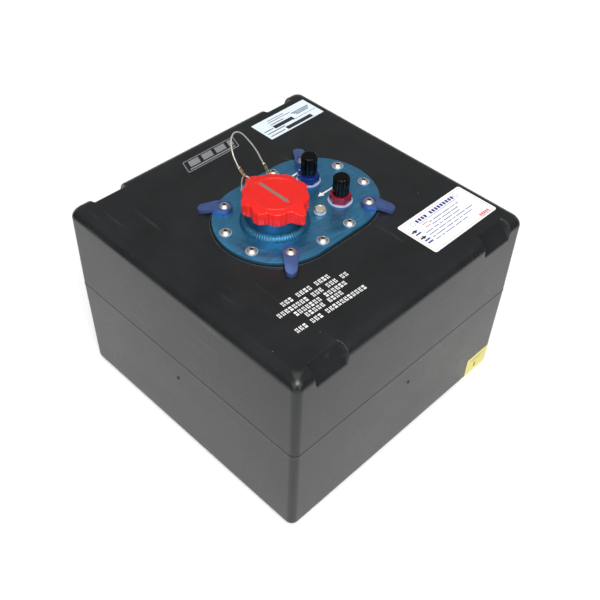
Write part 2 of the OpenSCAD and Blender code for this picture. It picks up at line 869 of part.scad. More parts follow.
module tab_back_right() {
    hold_up_tab(1, tab_angle_right);
}

module tab_front_right() {
    hold_up_tab(4, -tab_angle_right);
}

module tab_front_left() {
    hold_up_tab(7, 180 + tab_angle_left);
}

module tab_back_left() {
    hold_up_tab(10, 180 - tab_angle_left);
}

// Filler neck and cap

// Tube through the plate with a rounded weld bead on top of the plate
module filler_neck() {
    bead = [for (a = [0 : 22.5 : 90]) [neck_r + weld_leg * cos(a), deck_z + weld_leg * sin(a)]];
    color("steelblue")
        on_plate(-neck_left, 0, 0)
            rotate_extrude()
                polygon(concat(
                    [[neck_bore_r, seat_z + seat_t], [neck_r, seat_z + seat_t], [neck_r, deck_z]],
                    bead,
                    [[neck_r, neck_top_z], [neck_bore_r, neck_top_z]]
                ));
}

module cap_outline() {
    circle(r = cap_body_r);
    for (middle = [lobe_lean, 180 - lobe_lean], side = [-1, 1]) {
        rotate(middle + side * lobe_step / 2)
            translate([cap_body_r + lobe_out - lobe_r, 0])
                circle(r = lobe_r);
        rotate(middle + side * 3 * lobe_step / 2)
            translate([cap_body_r + side_lobe_out - side_lobe_r, 0])
                circle(r = side_lobe_r);
    }
    rotate(-90)
        tapered_outline(ear_root_r, ear_tip_r, ear_reach);
    rotate(90)
        tapered_outline(hole_ear_root_r, ear_tip_r, ear_reach);
}

module filler_cap() {
    color("red")
        on_plate(-neck_left, 0, 0)
            difference() {
                union() {
                    intersection() {
                        translate([0, 0, cap_z])
                            linear_extrude(cap_skirt)
                                cap_outline();
                        translate([0, 0, cap_z])
                            rotate_extrude()
                                polygon([
                                    [0, 0], [cap_tip_r + past, 0], [cap_tip_r + past, cap_skirt - crown_drop],
                                    [crown_flat_r, cap_skirt], [0, cap_skirt]
                                ]);
                    }
                    translate([0, 0, cap_top_z])
                        ring(2 * cap_ring_r, cap_ring_r - cap_ring_w, cap_ring_h);
                }
                translate([0, 0, cap_z - past])
                    cylinder(r = cap_bore_r, h = cap_inside_z - cap_z + past);
                translate([0, ear_reach, cap_z - past])
                    cylinder(d = ear_hole_d, h = cap_skirt + 2 * past);
            }
}

module cap_seal() {
    color("black")
        on_plate(-neck_left, 0, neck_top_z)
            ring(2 * neck_r, neck_bore_r, seal_t);
}

// Flapper valve under the neck

// Place at the hinge pin
module at_hinge() {
    on_plate(-neck_left - hinge_reach, 0, hinge_z)
        children();
}

// Bar across the hinge, centred on the pin
module across(d, w, y = 0) {
    translate([0, y, 0])
        rotate([90, 0, 0])
            cylinder(d = d, h = w, center = true);
}

module flapper_housing() {
    color("silver")
        difference() {
            union() {
                on_plate(-neck_left, 0, seat_z)
                    cylinder(r = housing_r, h = seat_drop);
                for (side = [-1, 1])
                    at_hinge()
                        translate([
                            -knuckle_r - hinge_ear_back, side * hinge_ear_y - hinge_ear_w / 2, -hinge_ear_low
                        ])
                            cube([
                                hinge_reach - housing_r + knuckle_r + housing_wall, hinge_ear_w,
                                hinge_ear_low + seat_z + hinge_ear_top - hinge_z
                            ]);
            }
            on_plate(-neck_left, 0, seat_z - hinge_ear_low - past - seat_drop)
                cylinder(r = seat_hole_r, h = 3 * seat_drop);
            on_plate(-neck_left, 0, seat_z + seat_t)
                cylinder(r = neck_r + neck_play, h = seat_drop);
            on_plate(-neck_left, 0, seat_z - seat_drop)
                cylinder(r = flap_r + flap_room, h = seat_drop);
            at_hinge()
                across(hinge_pin_d + 2 * screw_play, 4 * hinge_ear_y);
        }
}

// Flap with an arm to its two knuckles
module flapper_disc() {
    arm_w = knuckle_w;
    color("lightsteelblue")
        difference() {
            union() {
                on_plate(-neck_left, 0, flap_top_z - flap_t)
                    cylinder(r = flap_r, h = flap_t);
                at_hinge()
                    translate([0, -arm_w / 2, -flap_t / 2])
                        cube([hinge_reach, arm_w, flap_t]);
                at_hinge()
                    across(2 * knuckle_r, knuckle_w);
            }
            at_hinge()
                across(hinge_pin_d + 2 * hinge_play, 2 * knuckle_w);
            at_hinge()
                translate([-2 * knuckle_r, -knuckle_w / 2 + knuckle_each, -2 * knuckle_r])
                    cube([4 * knuckle_r, knuckle_w - 2 * knuckle_each, 4 * knuckle_r]);
        }
}

module flapper_seal() {
    color("black")
        on_plate(-neck_left, 0, flap_top_z)
            ring(2 * flap_r, seat_hole_r - flap_seal_in, flap_seal_t);
}

module flapper_pin() {
    color("gray")
        at_hinge()
            across(hinge_pin_d, 2 * hinge_ear_y + hinge_ear_w + 2 * pin_past);
}

// Torsion spring: one leg butts against the housing, the other lies under the flap's arm
module flapper_spring() {
    half_w = spring_turns * spring_pitch / 2;
    steps = spring_turns * spring_rings;
    wire_r = spring_wire_d / 2;
    coil = [
        for (i = [0 : steps])
            let (a = 90 + 360 * i / spring_rings)
            [spring_r * cos(a), -half_w + spring_pitch * i / spring_rings, spring_r * sin(a)]
    ];
    housing_leg = [hinge_reach - housing_r - spring_gap, -half_w, spring_r];
    flap_leg = [spring_leg, half_w, -flap_t / 2 - wire_r - spring_gap];
    color("gray")
        at_hinge()
            tube(concat([housing_leg], coil, [flap_leg]), wire_r, spring_sides, [0, 1, 0]);
}

// Ports

// White washer under a port's hexagon
module port_washer(side) {
    color("white")
        on_plate(port_right, side * port_y, deck_z)
            ring(port_washer_d, port_hole_r, port_washer_t);
}

// Threaded fitting through the plate, with a sealing cone on top
module port_fitting(side) {
    bore_r = port_bore_d / 2;
    on_plate(port_right, side * port_y, 0)
        difference() {
            union() {
                translate([0, 0, port_low_z])
                    cylinder(d = port_thread_d, h = port_tip_z - port_cone_h - port_low_z);
                translate([0, 0, port_hex_z])
                    rotate(port_hex_turn)
                        hexagon(port_hex_af, port_hex_h);
                translate([0, 0, port_tip_z - port_cone_h])
                    cylinder(r1 = port_thread_r - cone_step, r2 = bore_r + cone_land, h = port_cone_h);
            }
            translate([0, 0, port_low_z - past])
                cylinder(r = bore_r, h = port_tip_z - port_low_z + 2 * past);
        }
}

module port_nut(side) {
    color("silver")
        on_plate(port_right, side * port_y, port_nut_z)
            difference() {
                hexagon(port_nut_af, port_nut_h);
                translate([0, 0, -past])
                    cylinder(r = port_thread_r + screw_play, h = port_nut_h + 2 * past);
            }
}

// Push-on dust cap with a rounded end and a fluted side
module dust_cap(side, gap) {
    low_z = port_thread_z + gap;
    inside_z = port_tip_z + gap;
    top_z = inside_z + dust_end_t;
    dust_r = dust_d / 2;
    edge_r = dust_end_t / 2;
    edge = [for (a = [0 : 15 : 90]) [dust_r - edge_r + edge_r * cos(a), top_z - edge_r + edge_r * sin(a)]];
    color("black")
        on_plate(port_right, side * port_y, 0)
            difference() {
                rotate_extrude()
                    polygon(concat([[0, low_z], [dust_r, low_z]], edge, [[0, top_z]]));
                translate([0, 0, low_z - past])
                    cylinder(r = port_thread_r + dust_play, h = inside_z - low_z + past);
                for (k = [0 : dust_flutes - 1])
                    rotate(360 * k / dust_flutes)
                        translate([dust_r + flute_r / 3, 0, low_z - past])
                            cylinder(r = flute_r, h = inside_z - low_z + past, $fn = 16);
            }
}

module outlet_washer() {
    port_washer(1);
}

module outlet_fitting() {
    color("midnightblue") {
        port_fitting(1);
        on_plate(port_right, port_y, port_low_z - spigot_l)
            ring(2 * spigot_r, spigot_r - spigot_wall, spigot_l);
    }
}

module outlet_nut() {
    port_nut(1);
}

module outlet_dust_cap() {
    dust_cap(1, outlet_dust_gap);
}

module vent_washer() {
    port_washer(-1);
}

module vent_fitting() {
    color("darkred")
        port_fitting(-1);
}

module vent_nut() {
    port_nut(-1);
}

module vent_dust_cap() {
    dust_cap(-1, vent_dust_gap);
}

// Fuel pick-up

module pickup_hose() {
    color("darkslategray")
        on_plate(port_right, port_y, filter_top_z)
            ring(hose_d, hose_bore_d / 2, port_low_z - filter_top_z);
}

// Crimped clamp with its closed ear
module hose_clamp() {
    difference() {
        union() {
            cylinder(d = hose_d + 2 * clamp_t, h = clamp_w);
            translate([0, -clamp_ear_w / 2, 0])
                cube([hose_d / 2 + clamp_t + clamp_ear_out, clamp_ear_w, clamp_w]);
        }
        translate([0, 0, -past])
            cylinder(r = hose_d / 2 + hose_play, h = clamp_w + 2 * past);
    }
}

module hose_clamps() {
    middle = (spigot_l - clamp_w) / 2;
    color("silver")
        for (z = [filter_top_z + middle, port_low_z - spigot_l + middle])
            on_plate(port_right, port_y, z)
                hose_clamp();
}

module pickup_filter() {
    color("ivory")
        on_plate(port_right, port_y, filter_z)
            difference() {
                union() {
                    cylinder(d = filter_d, h = filter_h);
                    cylinder(r = spigot_r, h = filter_h + spigot_l);
                }
                translate([0, 0, filter_wall])
                    cylinder(d = filter_d - 2 * filter_wall, h = filter_h - 2 * filter_wall);
                translate([0, 0, filter_wall])
                    cylinder(r = spigot_r - spigot_wall, h = filter_h + spigot_l);
            }
}

// Roll-over valve

module rollover_body() {
    color("silver")
        on_plate(port_right, -port_y, 0)
            difference() {
                translate([0, 0, valve_low_z])
                    cylinder(d = valve_d, h = port_nut_z - valve_low_z);
                translate([0, 0, port_low_z])
                    cylinder(r = port_thread_r + screw_play, h = port_thread_past + past);
                translate([0, 0, valve_seat_z - past])
                    cylinder(d = ball_seat_d, h = valve_seat_t + 2 * past);
                translate([0, 0, valve_low_z - past])
                    cylinder(r = chamber_r, h = chamber_h + plug_t + past);
            }
}

module rollover_ball() {
    color("gray")
        on_plate(port_right, -port_y, plug_top_z + ball_gap + ball_d / 2)
            sphere(d = ball_d);
}

module rollover_plug() {
    color("silver")
        on_plate(port_right, -port_y, valve_low_z)
            difference() {
                cylinder(r = chamber_r - plug_play, h = plug_t);
                for (k = [0 : 3])
                    rotate(90 * k)
                        translate([chamber_r / 2, 0, -past])
                            cylinder(d = plug_hole_d, h = plug_t + 2 * past);
            }
}

// Ground screw

module ground_screw() {
    seat = deck_z + ground_washer_t;
    tip = plate_z - ground_nut_h - ground_past;
    color("goldenrod")
        on_plate(ground_right, -ground_front, 0) {
            translate([0, 0, tip])
                cylinder(d = ground_d, h = seat - tip);
            translate([0, 0, seat])
                hexagon(ground_af, ground_head_h);
        }
}

module ground_washer() {
    color("white")
        on_plate(ground_right, -ground_front, deck_z)
            ring(ground_washer_d, ground_d / 2 + hole_play, ground_washer_t);
}

module ground_nut() {
    color("goldenrod")
        on_plate(ground_right, -ground_front, plate_z - ground_nut_h)
            difference() {
                hexagon(ground_af, ground_nut_h);
                translate([0, 0, -past])
                    cylinder(r = ground_d / 2 + screw_play, h = ground_nut_h + 2 * past);
            }
}

// Lanyard

module lanyard_wire() {
    color("lightgray")
        tube([for (p = smooth(wire_route, cord_steps)) deck + p], wire_d / 2, cord_sides, [1, 0, 0]);
}

module cap_loop() {
    color("white")
        tube([for (p = smooth(loop_route, cord_steps)) deck + p], wire_d / 2, cord_sides, [1, 0, 0]);
}

module cap_ferrule() {
    color("darkkhaki")
        bar(
            deck + cap_ferrule_end,
            deck + wire_route[0] - ferrule_gap * unit(wire_route[0] - cap_ferrule_end),
            ferrule_d
        );
}

module plate_ferrule() {
    color("darkkhaki")
        bar(deck + plate_ferrule_end, deck + wire_route[len(wire_route) - 1], ferrule_d);
}

module plate_eye() {
    middle = [screw_at(eye_screw)[0], screw_at(eye_screw)[1], washer_t + eye_gap + wire_d / 2];
    color("white")
        tube([for (p = smooth(eye_route, cord_steps)) deck + middle + p], wire_d / 2, cord_sides, [0, 0, 1]);
}

container();
bladder();
nut_ring();
foam_lower_left();
foam_lower_right();
foam_upper_left();
foam_upper_right();
plate_gasket();
fill_plate();
plate_screws();
plate_washers();
tab_back_right();
tab_front_right();
tab_front_left();
tab_back_left();
filler_neck();
filler_cap();
cap_seal();
flapper_housing();
flapper_disc();
flapper_seal();
flapper_pin();
flapper_spring();
outlet_washer();
outlet_fitting();
outlet_nut();
outlet_dust_cap();
pickup_hose();
hose_clamps();
pickup_filter();
vent_washer();
vent_fitting();
vent_nut();
vent_dust_cap();
rollover_body();
rollover_ball();
rollover_plug();
ground_screw();
ground_washer();
ground_nut();
lanyard_wire();
cap_loop();
cap_ferrule();
plate_ferrule();
plate_eye();
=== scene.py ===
import math

import bmesh
import bpy
from bpy.props import FloatProperty, FloatVectorProperty, IntProperty, PointerProperty
from mathutils import Matrix, Vector


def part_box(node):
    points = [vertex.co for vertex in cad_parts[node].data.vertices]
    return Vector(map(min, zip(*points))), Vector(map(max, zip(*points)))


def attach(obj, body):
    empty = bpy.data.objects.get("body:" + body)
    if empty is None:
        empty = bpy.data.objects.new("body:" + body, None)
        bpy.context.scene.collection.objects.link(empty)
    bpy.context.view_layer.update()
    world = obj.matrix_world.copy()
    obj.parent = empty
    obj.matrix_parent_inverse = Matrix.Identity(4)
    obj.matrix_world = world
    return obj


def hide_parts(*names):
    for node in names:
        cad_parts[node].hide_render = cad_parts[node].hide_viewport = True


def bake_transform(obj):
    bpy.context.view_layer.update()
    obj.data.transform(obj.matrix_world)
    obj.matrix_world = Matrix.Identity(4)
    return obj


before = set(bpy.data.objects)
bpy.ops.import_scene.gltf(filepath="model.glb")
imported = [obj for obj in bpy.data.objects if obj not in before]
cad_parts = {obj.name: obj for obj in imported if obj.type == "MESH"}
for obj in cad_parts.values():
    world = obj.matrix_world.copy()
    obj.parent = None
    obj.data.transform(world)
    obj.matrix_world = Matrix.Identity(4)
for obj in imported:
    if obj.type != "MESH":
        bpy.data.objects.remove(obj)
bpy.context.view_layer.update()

bl_info = {
    "name": "Racing Fuel Cell",
    "version": (1, 0, 0),
    "blender": (4, 5, 0),
    "location": "3D View > Sidebar > Fuel Cell",
    "description": "Dresses the packed parts of a racing fuel cell and sets up its studio",
    "category": "Object",
}

MM = 0.001
TURN = 2 * math.pi
# Signs of x and y in each quarter, counterclockwise from the first
QUARTERS = ((1, 1), (-1, 1), (-1, -1), (1, -1))
# Points that are closer than this are one point, in a made form and in a packed one
MERGE, JOIN = 0.0002 * MM, 0.001 * MM
# A packed form's facets that turn less are flat, and its edges that turn more are rounded
FLAT_ANGLE, BEVEL_ANGLE = math.radians(0.4), math.radians(40)

# Routes of the lanyard, in millimetres from the middle of the fill plate's top, as in the part's source
WIRE_ROUTE = (
    (-38.5, 44.5, 45), (-39, 47.5, 50), (-38.5, 51, 54), (-36.5, 55.5, 58.5),
    (-33.5, 60, 61.5), (-29, 64.5, 63.5), (-23.5, 68.5, 63.5), (-17.5, 72, 61.5),
    (-11.5, 74, 58), (-6, 74.5, 53.5), (-1.5, 74, 47.5), (2.5, 72.5, 41),
    (5.5, 70, 35), (8, 67, 28.5), (9.5, 64, 22), (11, 61, 16),
)
CAP_FERRULE_END = (-34.5, 40, 34)
PLATE_FERRULE_END = (13.5, 55.5, 5.5)
LOOP_ROUTE = (
    (-35, 40.5, 37), (-34, 39.5, 34.5), (-32.5, 38, 33.5), (-31.5, 37, 32), (-31, 36.5, 30),
    (-31, 36.5, 25), (-31, 36.5, 20), (-31.5, 37, 17.5), (-32.5, 39, 16), (-34, 41.5, 16),
    (-35.5, 43, 18), (-35.5, 43.5, 22), (-35.5, 43, 27), (-35.5, 42, 31), (-35.5, 41, 33.5),
    (-36, 41.5, 36),
)
# Route of the eye from the middle of its screw, from the height of the wire on its washer
EYE_ROUTE = (
    (-5.5, 1.75, 6.5), (-5.5, 0, 3), (-6, -1.5, 1.5), (-5.5, -2.5, 0.5), (-4, -3.5, 0),
    (-1.5, -4.5, 0), (1.5, -4.5, 0), (4, -2.5, 0), (5, 0, 0), (4, 2.5, 0), (1.5, 4.5, 0),
    (-1.5, 4.5, 0), (-4, 4, 0), (-6, 3, 0.5), (-6.5, 2.5, 2.5), (-6.5, 3.25, 6.5),
)
# Depth of the grooves between strands for the wire's radius; a ferrule's crimps by place, width and depth
STRAND_GROOVE = 0.09
CRIMPS, CRIMP_WIDTH, CRIMP_DEPTH = (0.32, 0.7), 0.1, 0.24

# Container: angles around the opening's rounded edge, and in millimetres its levels below the top, steps in
# across the top, a level under the top inside, and places from the middle of a side to its first recess
RIM_ANGLES = (0, 0.3, 0.6, 0.9, 1.2, TURN / 4)
SIDE_DROPS = (80, 50, 30, 26, 25, 24, 23, 22, 21, 20, 19, 18, 17, 16, 15, 14.1)
TOP_STEPS = (0.25, 0.5, 0.75, 1.4, 2.2, 3.0, 3.8, 4.6)
INNER_DROP = 19
MIDDLE_STEPS = (0, 30, 60, 85)
# Parting band, as shares of the ridge out and up: a step out with a short under face, an upright band,
# then a slope in to a shallow groove
PARTING_BAND = (
    (0.3, 0.08), (0.55, 0.16), (0.6, 0.22), (0.58, 0.48), (0.5, 0.54), (-0.25, 0.88), (-0.3, 0.91),
    (-0.25, 0.94), (0, 1),
)
# Bead around the opening, painted pale as a highlight of the opening's rim, in millimetres out and up
BEAD_PROFILE = ((0.6, -0.1), (0.5, 0.15), (0.2, 0.3), (-0.1, 0.3), (-0.4, 0.15), (-0.5, -0.2))
BEAD_STEPS = 120
# Mould vents' nibs, in millimetres: radius, height and fillet of the corners, height on the wall, and places
# along the left and the front
NIB_CORNERS = ((2.2, -0.2, 0), (1.7, 0.8, 0.3), (1.2, 0.8, 0.2), (0.9, 0.1, 0.1), (0, 0.05, 0))
NIB_HEIGHT, NIB_LEFT, NIB_FRONT = 95, 3.8, 2
# Steps around an upright edge
CORNER_STEPS = 12

# Hexagon heads: where the chamfer starts for the width, its slope, and the dish of the ground screw
CHAMFER_SHARE, CHAMFER_SLOPE, DISH_SHARE = 0.485, math.tan(math.radians(25)), 0.36
# Neck: turns of its thread, and how far a ripple of its weld leans over the one before it
NECK_TURNS, WELD_LEAN = 2.2, 0.35
# Cap: degrees that a notch is filled over, and that an edge is sharp from
NOTCH_FILL, CAP_CREASE = 2.0, 50

# Data sticker's bars as middle and size, in millimetres
DATA_FIELDS = (
    (100, 122.2, 30, 5.6), (115, 111.6, 40, 5.6), (76.5, 121.7, 13.5, 1.2), (83.5, 116.6, 26.5, 1.2),
    (81, 111.3, 21.5, 1.2), (100, 136.1, 26, 0.8), (102.5, 132.7, 34.5, 0.8), (95.5, 128.1, 20.5, 1.0),
)
# Stencil's rows as the place of their start and the bars in each group, and its pitch, in millimetres
STENCIL_ROWS = (
    (-107.6, -86.1, (3, 4, 4)), (-120.3, -94.4, (8, 3, 3, 2)), (-107.1, -102.9, (7, 6)),
    (-100.6, -110.3, (5, 4)), (-121.2, -118.2, (3, 3, 11)),
)
STENCIL_PITCH = 4.66

# Range that most of a noise lies in
NOISE = {"From Min": 0.3, "From Max": 0.7}
# Pale marks on the container's skin: strength of the rubbed streaks, and radius of a dust speck as a share of
# the distance between specks
HAZE, SPECK = 0.08, 0.022

# Studio, in metres: each soft light's name, place, size and the setting that holds its power
LAMPS = (
    ("key", (-1.4, -1.75, 2.6), (2.4, 0.5), "key"),
    ("fill_left", (-3.1, -0.7, 1.7), (2.2, 2.2), "fill"),
    ("fill_right", (-0.7, -3.1, 1.7), (2.2, 2.2), "fill"),
    ("overhead", (-0.1, -0.1, 3.5), (1.8, 1.8), "overhead"),
)
LAMP_AIM = (0, 0, 0.12)
FAR_WAY, FAR_SPREAD = (0.36, 0.42, -0.83), math.radians(26)
# Height, as a share of straight up, at which the surroundings have reached their overhead light
SKY_RISE = 0.2
# Flags: places, half width, thickness, and an outline of half widths and heights
FLAGS = (("flag_left", (-0.53, 0.25, 0)), ("flag_right", (0.25, -0.53, 0)))
FLAG_HALF, FLAG_T = 0.55, 0.004
FLAG_OUTLINE = ((-1, 0.0), (1, 0.0), (1, 0.36), (0.97, 0.38), (-0.97, 0.38), (-1, 0.36))
# Paper: half width, width and drop of its turned edge, and its gap under the object
PAPER_HALF, PAPER_LIP, PAPER_DROP, PAPER_GAP = 6.0, 0.2, 0.02, 0.0002
# Camera's sensor, in millimetres
SENSOR_WIDTH = 36.0


def linear(hex_value):
    """Linear red, green and blue of an sRGB hex value."""
    parts = [int(hex_value[i:i + 2], 16) / 255 for i in (1, 3, 5)]
    return [c / 12.92 if c <= 0.04045 else ((c + 0.055) / 1.055) ** 2.4 for c in parts]


def length(name, description, mm):
    """Property for a size that is given in millimetres."""
    return FloatProperty(
        name=name, description=description, default=mm * MM, min=0.0, precision=5, unit="LENGTH"
    )


def swing(name, description, degrees):
    """Property for an angle that is given in degrees."""
    return FloatProperty(name=name, description=description, default=math.radians(degrees), subtype="ANGLE")


def paint(name, description, hex_value):
    """Property for a colour that is given as an sRGB hex value."""
    return FloatVectorProperty(
        name=name, description=description, default=linear(hex_value), min=0.0, max=1.0, size=3,
        subtype="COLOR",
    )


class FuelCellSizes(bpy.types.PropertyGroup):
    """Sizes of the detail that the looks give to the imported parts."""

    case_wall: length("Wall", "Thickness of the moulded wall", 5)
    case_corner: length("Corner radius", "Radius of the container's upright edges", 8)
    case_top: length("Top radius", "Radius of the edge around the container's top", 13.5)
    case_base: length("Base radius", "Radius of the edge around the container's base", 8.5)
    case_draft: length("Draft", "How far the lower half draws in at the base", 1.3)
    parting: length("Parting height", "Height of the mould's parting line", 122)
    ridge_out: length("Ridge", "How far the parting ridge stands out", 0.4)
    ridge_h: length("Ridge height", "Height of the parting ridge", 4.4)
    strap_w: length("Strap recess", "Width of a recess for a hold-down strap", 38.5)
    strap_pitch: length("Strap pitch", "Distance between the two straps", 242.5)
    strap_in: length("Bevel across", "How far in the bevel under a strap starts on the top", 14)
    strap_down: length("Bevel height", "How far down the bevel under a strap ends on the side", 20)
    strap_inner: length("Inner bevel", "Leg of the bevel inside the container", 22.5)
    strap_soft: length("Bevel run-out", "How softly the bevel under a strap runs out into the faces", 1.8)
    strap_flare: FloatProperty(
        name="Recess flare", description="Reach of a recess's end walls for their depth", subtype="FACTOR",
        default=0.35,
    )
    strap_end: length("Recess end", "Least reach of a recess's end wall", 1.4)
    strap_lip: length("Recess lip", "Rounding of the upper edge of a recess's end wall", 0.3)
    opening_gap: length("Opening gap", "Space between the gasket and the opening", 1)
    opening_edge: length("Opening edge", "Rounding of the opening's upper edge", 0.5)
    plate_edge: length("Plate edge", "Rounding of the fill plate's edges", 0.45)
    tab_edge: length("Tab edge", "Rounding of the hold-up tabs' edges", 0.6)
    small_edge: length("Small edge", "Rounding of the small metal parts' edges", 0.25)
    screw_head_h: length("Screw head", "Height of the button heads", 3.4)
    screw_d: length("Screw", "Diameter of the plate screws", 6.35)
    socket_af: length("Hex socket", "Width of the hex sockets across their flats", 3.9)
    socket_depth: length("Socket depth", "Depth of the hex sockets", 2.2)
    weld_leg: length("Weld bead", "Leg of the weld bead around the neck", 6)
    weld_pitch: length("Weld ripple pitch", "Distance between the ripples of the weld", 2.6)
    weld_depth: length("Weld ripple depth", "Depth of the ripples of the weld", 0.4)
    neck_wall: length("Neck wall", "Wall of the filler neck", 3)
    neck_pitch: length("Neck thread pitch", "Distance between the turns of the neck's thread", 6)
    neck_thread: length("Neck thread", "Height of the neck's rounded thread", 0.35)
    cap_play: length("Cap play", "Clearance between the cap and the neck's thread", 0.5)
    cap_wall: length("Cap wall", "Wall of the cap between its lobes", 1.5)
    cap_top: length("Cap top", "Thickness of the cap's top", 4.6)
    lobe_out: length("Lobe", "How far a lobe midway between the cap's ears stands out", 3.7)
    lobe_r: length("Lobe radius", "Radius of a lobe midway between the cap's ears", 9)
    side_lobe_out: length("Side lobe", "How far a lobe beside an ear stands out", 1.9)
    side_lobe_r: length("Side lobe radius", "Radius of a lobe beside an ear", 14)
    lobe_lean: swing("Lobe lean", "Turn of the lobes on both sides towards the ear with the hole", 3)
    ear_reach: length("Ear reach", "Distance from the cap's axis to an ear's hole", 36.5)
    ear_tip: length("Ear tip", "Radius of an ear's tip", 4.5)
    ear_root: length("Ear root", "Radius that the plain ear grows from", 22)
    hole_ear_root: length("Hole ear root", "Radius that the ear with the hole grows from", 29)
    ear_hole: length("Ear hole", "Diameter of the hole in an ear", 3.2)
    crown_drop: length("Crown drop", "Drop of the crown at the tips of the ears", 3.4)
    crown_flat: length("Crown flat", "Radius of the flat top inside the crown", 30)
    ring_r: length("Cap ring", "Outside radius of the raised ring on the cap", 25.6)
    ring_w: length("Cap ring width", "Width of the raised ring on the cap", 2.2)
    ring_h: length("Cap ring height", "Height of the raised ring on the cap", 0.7)
    cap_edge: length("Cap edge", "Rounding of the cap's upper edge", 1.3)
    rib_pitch: length("Rib pitch", "Distance between the ribs around the cap's skirt", 5.2)
    rib_depth: length("Rib depth", "Depth of the grooves between the ribs", 0.6)
    hex_af: length("Port hexagon", "Width of the port hexagons across their flats", 20.6)
    hex_h: length("Port hexagon height", "Height of the port hexagons", 8)
    hex_turn: swing("Port hexagon turn", "Turn of the port hexagons about their axes", 5)
    port_d: length("Port thread", "Diameter of the port threads", 14.3)
    port_pitch: length("Port thread pitch", "Distance between the turns of the port threads", 1.41)
    port_thread: length("Port thread depth", "Depth of the port threads", 0.55)
    port_bore: length("Port bore", "Diameter of the bore through a port", 9)
    cone_h: length("Port cone", "Height of the sealing cone at the end of a port", 3.4)
    spigot_r: length("Spigot", "Radius of the spigot that the pick-up hose sits on", 5.2)
    spigot_wall: length("Spigot wall", "Wall of the spigot that the pick-up hose sits on", 1.2)
    dust_end: length("Dust cap end", "Thickness of a dust cap's closed end", 3.5)
    dust_wall: length("Dust cap wall", "Wall of a dust cap", 1.25)
    dust_edge: length("Dust cap edge", "Rounding of a dust cap's closed end", 1.9)
    flutes: IntProperty(name="Flutes", description="Number of flutes on a dust cap", default=18, min=6)
    flute_depth: length("Flute depth", "Depth of the flutes on a dust cap", 0.5)
    ground_af: length("Ground hexagon", "Width of the ground screw's head across its flats", 10.2)
    ground_d: length("Ground screw", "Diameter of the ground screw", 4.8)
    ground_head: length("Ground head", "Height of the ground screw's head", 4.4)
    wire_d: length("Wire", "Diameter of the coated wire", 1.5)
    wire_lay: length("Wire lay", "Length in which the wire's strands go round once", 9)
    strands: IntProperty(name="Strands", description="Number of strands of the wire", default=6, min=3)
    ferrule_d: length("Ferrule", "Diameter of the crimped ferrules", 3.6)
    ferrule_gap: length("Ferrule gap", "Gap between the cap's ferrule and the free wire", 0.3)
    washer_t: length("Plate washer", "Thickness of the plain washers", 1.2)
    washer_play: length("Washer play", "Clearance of a washer around its screw", 0.3)
    eye_gap: length("Eye gap", "Gap under the eye that a screw holds", 0.1)
    sticker_t: length("Sticker", "Thickness of the stickers", 0.2)
    ink_t: length("Ink", "Thickness of the printed and painted marks", 0.06)


class FuelCellColours(bpy.types.PropertyGroup):
    """Colours of the finishes."""

    # Pale grey painted on the bead around the opening as a highlight of its rim
    rubbed: paint("Rubbed edge", "Raised edge of the container, rubbed pale", "#3b3d3f")
    container: paint("Container", "Black polyethylene of the container", "#202122")
    haze: paint("Rubbed streaks", "Pale streaks rubbed into the container's skin", "#959595")
    dust: paint("Dust", "Dust specks on the container", "#656561")
    plate: paint("Fill plate", "Blue anodising of the fill plate and the neck", "#4993be")
    tabs: paint("Tabs", "Violet-blue anodising of the hold-up tabs", "#4c6298")
    cap: paint("Filler cap", "Red powder coat of the filler cap", "#e22823")
    stainless: paint("Stainless steel", "Screws, pins and springs", "#d8d4cd")
    zinc: paint("Zinc plate", "Zinc of the washers and the nut ring", "#b3bdca")
    # Brown-black painted shade that lines the screws' sockets
    oil: paint("Thread oil", "Film of oil in the screws' sockets", "#46382f")
    aluminium: paint("Bare aluminium", "Machined aluminium under the plate", "#c9cbcd")
    outlet: paint("Outlet", "Navy anodising of the outlet fitting", "#19327f")
    vent: paint("Vent", "Burgundy anodising of the vent fitting", "#9c1f36")
    nylon: paint("Nylon", "White nylon of the sealing washers", "#a4b0cf")
    dust_cap: paint("Dust caps", "Black vinyl of the dust caps", "#070606")
    ground: paint("Ground screw", "Yellow zinc of the ground screw", "#eee2c6")
    wire: paint("Wire", "Clear-coated steel wire rope", "#cfc9bf")
    ferrule: paint("Ferrules", "Crimped brass sleeves", "#e0cf98")
    rubber: paint("Rubber", "Gasket, seals and hose", "#0a0a0a")
    bladder: paint("Bladder", "Rubber-coated fabric", "#26282a")
    foam: paint("Foam", "Open-cell safety foam", "#d8c46a")
    sticker: paint("Notice sticker", "White vinyl of the notice sticker", "#f9fcff")
    data_sticker: paint("Data sticker", "Pale blue vinyl of the data sticker", "#e4eff7")
    yellow: paint("Yellow sticker", "Yellow vinyl of the side sticker", "#d0c663")
    navy_ink: paint("Navy ink", "Printed bars", "#3d3f86")
    teal_ink: paint("Teal ink", "Stripes printed on the data sticker", "#46687e")
    red_ink: paint("Red ink", "Printed bars", "#d8584f")
    black_ink: paint("Black ink", "Printed bars", "#2a2c30")
    grey_ink: paint("Grey print", "Frame printed on the container", "#85868a")
    brown_ink: paint("Brown print", "Arrow printed on the filler cap", "#8a7468")
    white_paint: paint("White paint", "Stencilled bars and arrows", "#f4f4f2")
    flag: paint("Flags", "Black felt of the two flags beside the picture", "#1e1e1e")
    floor: paint("Floor", "Pale studio floor", "#ffffff")


